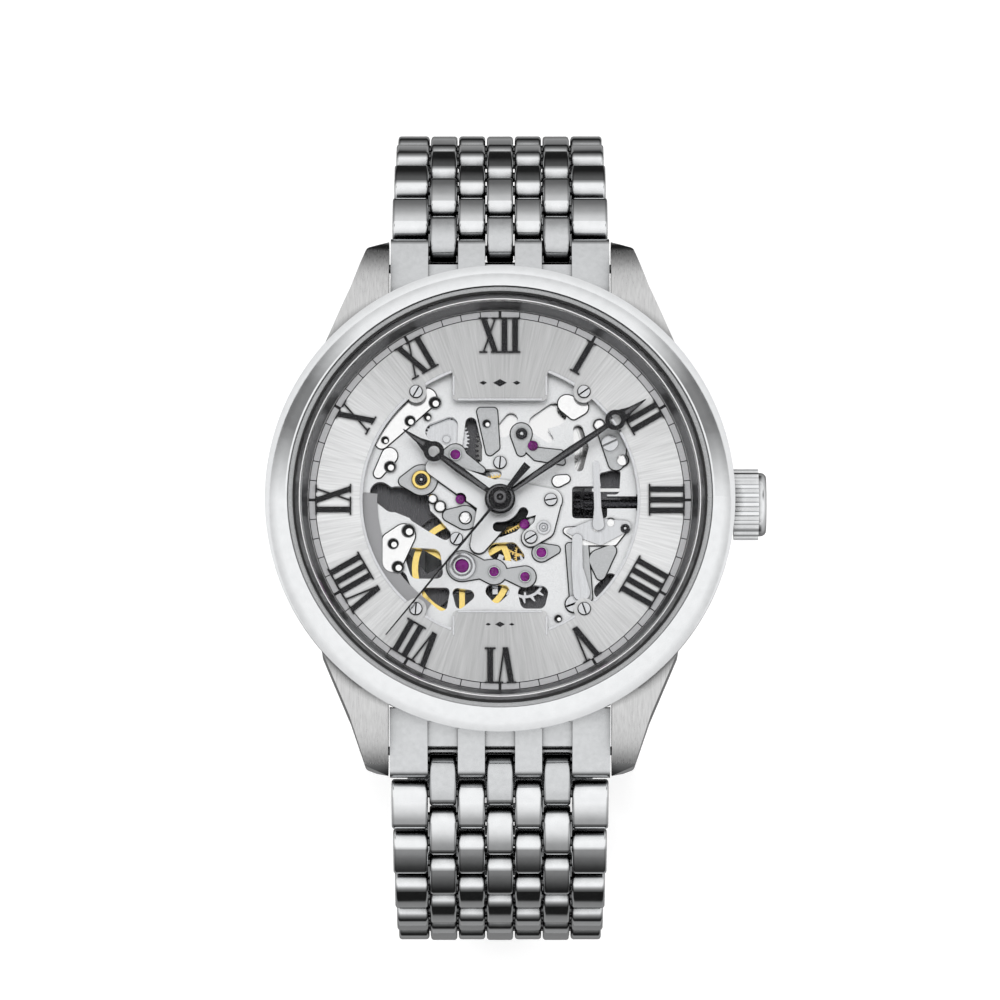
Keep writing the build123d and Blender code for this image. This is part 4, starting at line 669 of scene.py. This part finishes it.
# Painted shadow: a dark line round each screw head and a dark floor in each slot.
DIAL_HEAD, MOVEMENT_HEAD = 0.25, 0.30
SCREW_CIRCLE = 12.35
SCREWS = [
    (
        SCREW_CIRCLE * cos(radians(angle)), SCREW_CIRCLE * sin(radians(angle)), 0.52, 35 + 25 * number, dial_top,
        DIAL_HEAD,
    )
    for number, angle in enumerate((52.5, 127.5, 232.5, 307.5))
]
SCREWS += [
    (0.0, 3.6, 0.52, 85.0, plate_top, MOVEMENT_HEAD), (-3.9, -3.3, 0.52, 60.0, plate_top, MOVEMENT_HEAD),
    (9.85, 5.35, 0.72, 25.0, plate_top, MOVEMENT_HEAD), (6.6, -9.2, 0.72, 20.0, plate_top, MOVEMENT_HEAD),
    (4.55, 0.15, 0.52, 10.0, bridge_top, MOVEMENT_HEAD), (2.75, -3.25, 0.52, 30.0, bridge_top, MOVEMENT_HEAD),
]
screw_shadows = bmesh.new()
for x, y, radius, slot_angle, base, head in SCREWS:
    rim = [
        (share * radius * MM, base + height * MM)
        for share, height in ((1.0, 0.0), (1.16, 0.0), (1.16, 0.05), (1.0, 0.05))
    ]
    add_ring(screw_shadows, (x * MM, y * MM), rim, FINE_SEGMENTS)
    slot_reach, slot_half = 0.94 * radius, 0.125 * radius
    slot = [(-slot_reach, -slot_half), (slot_reach, -slot_half)]
    slot += [(slot_reach, slot_half), (-slot_reach, slot_half)]
    slot_floor = base + 0.5 * head * MM
    outline = [(px * MM, py * MM) for px, py in turned(slot, radians(slot_angle), (x, y))]
    add_prism(screw_shadows, outline, slot_floor, slot_floor + 0.02 * MM)
finish_piece("screw_shadows", screw_shadows, SHADE_BLACK)

# Polished lip at the top of the flange, just under the crystal.
crystal_lip = bmesh.new()
add_ring(crystal_lip, (0, 0), [
    (17.70 * MM, flange_top - 0.24 * MM), (17.86 * MM, flange_top - 0.05 * MM),
    (17.98 * MM, flange_top - 0.02 * MM), (17.98 * MM, flange_top - 0.15 * MM),
    (17.86 * MM, flange_top - 0.30 * MM),
], 192)
finish_piece("crystal_lip", crystal_lip, LIP_STEEL)

# Polished ridges along the middle of the hour and minute hands.
seconds_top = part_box("seconds_hand")[1][2]
minute_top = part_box("minute_hand")[1][2]
hour_hand_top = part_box("hour_hand")[1][2]
HOUR_ANGLE, MINUTE_ANGLE = 144.0, 34.4
RIDGE_RISE = 0.07
for hand, direction, top, spans, body in (
    ("hour", HOUR_ANGLE, hour_hand_top, ((1.6, 6.3, 0.17), (8.4, 10.2, 0.16)), "hours"),
    ("minute", MINUTE_ANGLE, minute_top, ((1.4, 11.5, 0.17), (13.6, 15.2, 0.16)), "minutes"),
):
    ridge = bmesh.new()
    for start, end, half_width in spans:
        add_ridge(ridge, direction, start, end, half_width, top, RIDGE_RISE)
    finish_piece(hand + "_hand_ridge", ridge, POLISHED_BLACK, body=body, smooth=False)

# Turned rings on the hubs of the hands.
ring_set(
    "seconds_cap", [(0.0, 0.0, 0.62)], seconds_top,
    [(0.001, 0.0), (1.0, 0.0), (1.0, 0.10), (0.8, 0.2), (0.5, 0.2), (0.4, 0.12), (0.2, 0.12), (0.15, 0.2),
     (0.001, 0.2)],
    POLISHED_BLACK, "seconds",
)
ring_set(
    "minute_hub_ring", [(0.0, 0.0, 1.2)], minute_top,
    [(0.80, 0.0), (1.0, 0.0), (1.0, 0.05), (0.95, 0.1), (0.85, 0.1), (0.80, 0.05)],
    POLISHED_BLACK, "minutes",
)

# Raised lip round the opening of the dial and along its two tabs.
lip = bmesh.new()
LIP_INNER, LIP_OUTER = 12.3 * MM, 12.52 * MM
LIP_LOW, LIP_HIGH = dial_top - 0.02 * MM, dial_top + 0.03 * MM
SCREW_ANGLE, SCREW_SPREAD, TAB_ANGLE = 52.5, 5.0, 69.5
LIP_STEP = 1.5
for side_turn in (0, 180):
    for low_angle, high_angle in (
        (-TAB_ANGLE, -SCREW_ANGLE - SCREW_SPREAD), (-SCREW_ANGLE + SCREW_SPREAD, SCREW_ANGLE - SCREW_SPREAD),
        (SCREW_ANGLE + SCREW_SPREAD, TAB_ANGLE),
    ):
        steps = round((high_angle - low_angle) / LIP_STEP)
        angles = [
            radians(side_turn + low_angle + (high_angle - low_angle) * step / steps)
            for step in range(steps + 1)
        ]
        lip_outline = [(LIP_OUTER * cos(turn), LIP_OUTER * sin(turn)) for turn in angles]
        lip_outline += [(LIP_INNER * cos(turn), LIP_INNER * sin(turn)) for turn in reversed(angles)]
        add_prism(lip, lip_outline, LIP_LOW, LIP_HIGH)
TAB_HALF, UPPER_TAB, LOWER_TAB, TAB_RIM = 4.25, 9.0, -9.95, 0.16
TAB_INSET, TAB_CORNER, FLANK_END = 0.02, 0.5, 2.2
for edge, away in ((UPPER_TAB, 1), (LOWER_TAB, -1)):
    bottom = (edge + TAB_INSET * away, edge + (TAB_INSET + TAB_RIM) * away)
    corners = [(-TAB_HALF + TAB_CORNER, bottom[0]), (TAB_HALF - TAB_CORNER, bottom[0])]
    corners += [(TAB_HALF - TAB_CORNER, bottom[1]), (-TAB_HALF + TAB_CORNER, bottom[1])]
    add_prism(lip, [(x * MM, y * MM) for x, y in corners], LIP_LOW, LIP_HIGH)
    for flank in (-1, 1):
        outer, inner = flank * (TAB_HALF - TAB_INSET), flank * (TAB_HALF - TAB_INSET - TAB_RIM)
        near, far = edge + TAB_CORNER * away, edge + FLANK_END * away
        sides = [(outer, near), (inner, near), (inner, far), (outer, far)]
        add_prism(lip, [(x * MM, y * MM) for x, y in sides], LIP_LOW, LIP_HIGH)
finish_piece("opening_lip", lip, FINISH["screw_steel"])


# ---------------------------------------------------------------- stage, lights and camera

floor_mesh = bpy.data.meshes.new("floor")
FLOOR_HALF = 1.5
floor_mesh.from_pydata(
    [(-FLOOR_HALF, -FLOOR_HALF, floor_level), (FLOOR_HALF, -FLOOR_HALF, floor_level),
     (FLOOR_HALF, FLOOR_HALF, floor_level), (-FLOOR_HALF, FLOOR_HALF, floor_level)], [], [(0, 1, 2, 3)],
)
floor = bpy.data.objects.new("floor", floor_mesh)
bpy.context.scene.collection.objects.link(floor)
floor_material, floor_nodes, floor_links, floor_shader = new_material("pale_floor")
floor_tone = ramp(
    floor_nodes, floor_links, noise(floor_nodes, floor_links, 0.02), (0.3, 0.90), (0.7, 0.92),
)
floor_links.new(floor_tone, floor_shader.inputs["Base Color"])
floor_shader.inputs["Roughness"].default_value = 0.9
floor_shader.inputs["Emission Color"].default_value = (1.0, 1.0, 1.0, 1.0)
floor_shader.inputs["Emission Strength"].default_value = 0.22
floor_mesh.materials.append(floor_material)
floor.visible_glossy = False


# A low wall of grey card round the watch, seen only in reflections. Across the ends of the bracelet it has a dark
# band at mid height and is white at its rim. Towards the sides it is grey, and paler towards its rim.
WALL_RADIUS = 56 * MM
WALL_TOP = 20 * MM
wall_mesh_source = bmesh.new()
WALL_STEPS = 96
for low_turn in range(WALL_STEPS):
    first, second = tau * low_turn / WALL_STEPS, tau * (low_turn + 1) / WALL_STEPS
    corners = [
        wall_mesh_source.verts.new((WALL_RADIUS * cos(turn), WALL_RADIUS * sin(turn), height))
        for turn, height in ((first, floor_level), (second, floor_level), (second, WALL_TOP), (first, WALL_TOP))
    ]
    wall_mesh_source.faces.new(corners)
wall_mesh = bpy.data.meshes.new("grey_card_wall")
wall_mesh_source.to_mesh(wall_mesh)
wall_mesh_source.free()
wall = bpy.data.objects.new("grey_card_wall", wall_mesh)
bpy.context.scene.collection.objects.link(wall)
wall_material, wall_nodes, wall_links, wall_shader = new_material("grey_card")
wall_place = wall_nodes.new("ShaderNodeSeparateXYZ")
wall_links.new(wall_nodes.new("ShaderNodeTexCoord").outputs["Object"], wall_place.inputs["Vector"])
wall_share = wall_nodes.new("ShaderNodeMapRange")
wall_share.inputs["From Min"].default_value = floor_level
wall_share.inputs["From Max"].default_value = WALL_TOP
wall_links.new(wall_place.outputs["Z"], wall_share.inputs["Value"])
wall_tone = ramp(
    wall_nodes, wall_links, wall_share.outputs["Result"],
    (0.0, 0.32), (0.28, 0.20), (0.33, 0.004), (0.46, 0.004), (0.53, 0.05), (0.63, 0.14), (0.76, 0.38),
    (0.88, 0.78), (1.0, 1.0),
)
side_tone = ramp(
    wall_nodes, wall_links, wall_share.outputs["Result"],
    (0.0, 0.25), (0.27, 0.35), (0.58, 0.52), (0.78, 0.62), (1.0, 0.95),
)
side_reach = arithmetic(wall_nodes, wall_links, "ABSOLUTE", wall_place.outputs["X"])
END_HALF, SIDE_START = 22 * MM, 40 * MM
side_share = ramp(wall_nodes, wall_links, side_reach, (END_HALF, 0.0), (SIDE_START, 1.0))
wall_colour = blend(wall_nodes, wall_links, side_share, wall_tone, side_tone)
wall_links.new(wall_colour, wall_shader.inputs["Emission Color"])
wall_shader.inputs["Emission Strength"].default_value = 1.08
wall_shader.inputs["Base Color"].default_value = (0.0, 0.0, 0.0, 1.0)
wall_mesh.materials.append(wall_material)
wall.visible_camera = False
wall.visible_diffuse = False
wall.visible_shadow = False
wall.visible_transmission = False


def soft_light(name, place, size, power):
    """A large square area light aimed at the watch."""
    data = bpy.data.lights.new(name, "AREA")
    data.shape = "SQUARE"
    data.size = size
    data.energy = power
    light = bpy.data.objects.new(name, data)
    light.location = place
    light.rotation_euler = (Vector((0, 0, 0)) - Vector(place)).to_track_quat("-Z", "Y").to_euler()
    light.visible_glossy = False
    bpy.context.scene.collection.objects.link(light)


soft_light("key_left", (-0.45, 0.30, 0.60), 0.40, 1.6)
soft_light("key_right", (0.45, 0.25, 0.60), 0.40, 1.2)
soft_light("front", (0.0, -0.60, 0.45), 0.35, 0.8)

world = bpy.data.worlds.new("studio")
world.use_nodes = True
bpy.context.scene.world = world
world_nodes, world_links = world.node_tree.nodes, world.node_tree.links
direction = world_nodes.new("ShaderNodeTexCoord").outputs["Generated"]
split_direction = world_nodes.new("ShaderNodeSeparateXYZ")
world_links.new(direction, split_direction.inputs["Vector"])


def world_math(operation, *values):
    """One step of arithmetic on the direction that is looked in."""
    return arithmetic(world_nodes, world_links, operation, *values)


# White overhead, greyer towards the horizon and below it, with a darker card at each shoulder of the watch.
height_share = world_math("MULTIPLY_ADD", split_direction.outputs["Z"], 0.5, 0.5)
sky = ramp(
    world_nodes, world_links, height_share, (0.40, 0.20), (0.50, 0.32), (0.60, 0.55), (0.74, 0.95), (1.0, 1.0),
)
world_side = world_math("ABSOLUTE", split_direction.outputs["X"])
bearing = world_math("ARCTAN2", split_direction.outputs["Y"], world_side)
card_offset = world_math("ABSOLUTE", world_math("SUBTRACT", bearing, radians(33)))
card = ramp(world_nodes, world_links, card_offset, (radians(6), 0.25), (radians(24), 1.0))
card_share = ramp(world_nodes, world_links, height_share, (0.84, 1.0), (0.94, 0.0))
sky_with_cards = blend(world_nodes, world_links, card_share, sky, card, "MULTIPLY")
world_links.new(sky_with_cards, world_nodes["Background"].inputs["Color"])
world_nodes["Background"].inputs["Strength"].default_value = 1.12

# What the camera sees past the floor is the plain pale backdrop.
backdrop = world_nodes.new("ShaderNodeBackground")
backdrop.inputs["Color"].default_value = (0.93, 0.93, 0.93, 1.0)
choose = world_nodes.new("ShaderNodeMixShader")
world_links.new(world_nodes.new("ShaderNodeLightPath").outputs["Is Camera Ray"], choose.inputs["Fac"])
world_links.new(world_nodes["Background"].outputs["Background"], choose.inputs[1])
world_links.new(backdrop.outputs["Background"], choose.inputs[2])
world_links.new(choose.outputs["Shader"], world_nodes["World Output"].inputs["Surface"])
bpy.context.scene.view_settings.view_transform = "Standard"

CAMERA_DISTANCE = 0.82
CAMERA_TILT = radians(8.0)
VIEW_WIDTH = 89.4 * MM
camera_data = bpy.data.cameras.new("camera")
camera_data.lens = camera_data.sensor_width * CAMERA_DISTANCE / VIEW_WIDTH
camera_data.clip_start = 0.01
camera = bpy.data.objects.new("camera", camera_data)
camera.location = hand_center + CAMERA_DISTANCE * Vector((0.0, -sin(CAMERA_TILT), cos(CAMERA_TILT)))
camera.rotation_euler = (CAMERA_TILT, 0.0, 0.0)
bpy.context.scene.collection.objects.link(camera)
bpy.context.scene.camera = camera
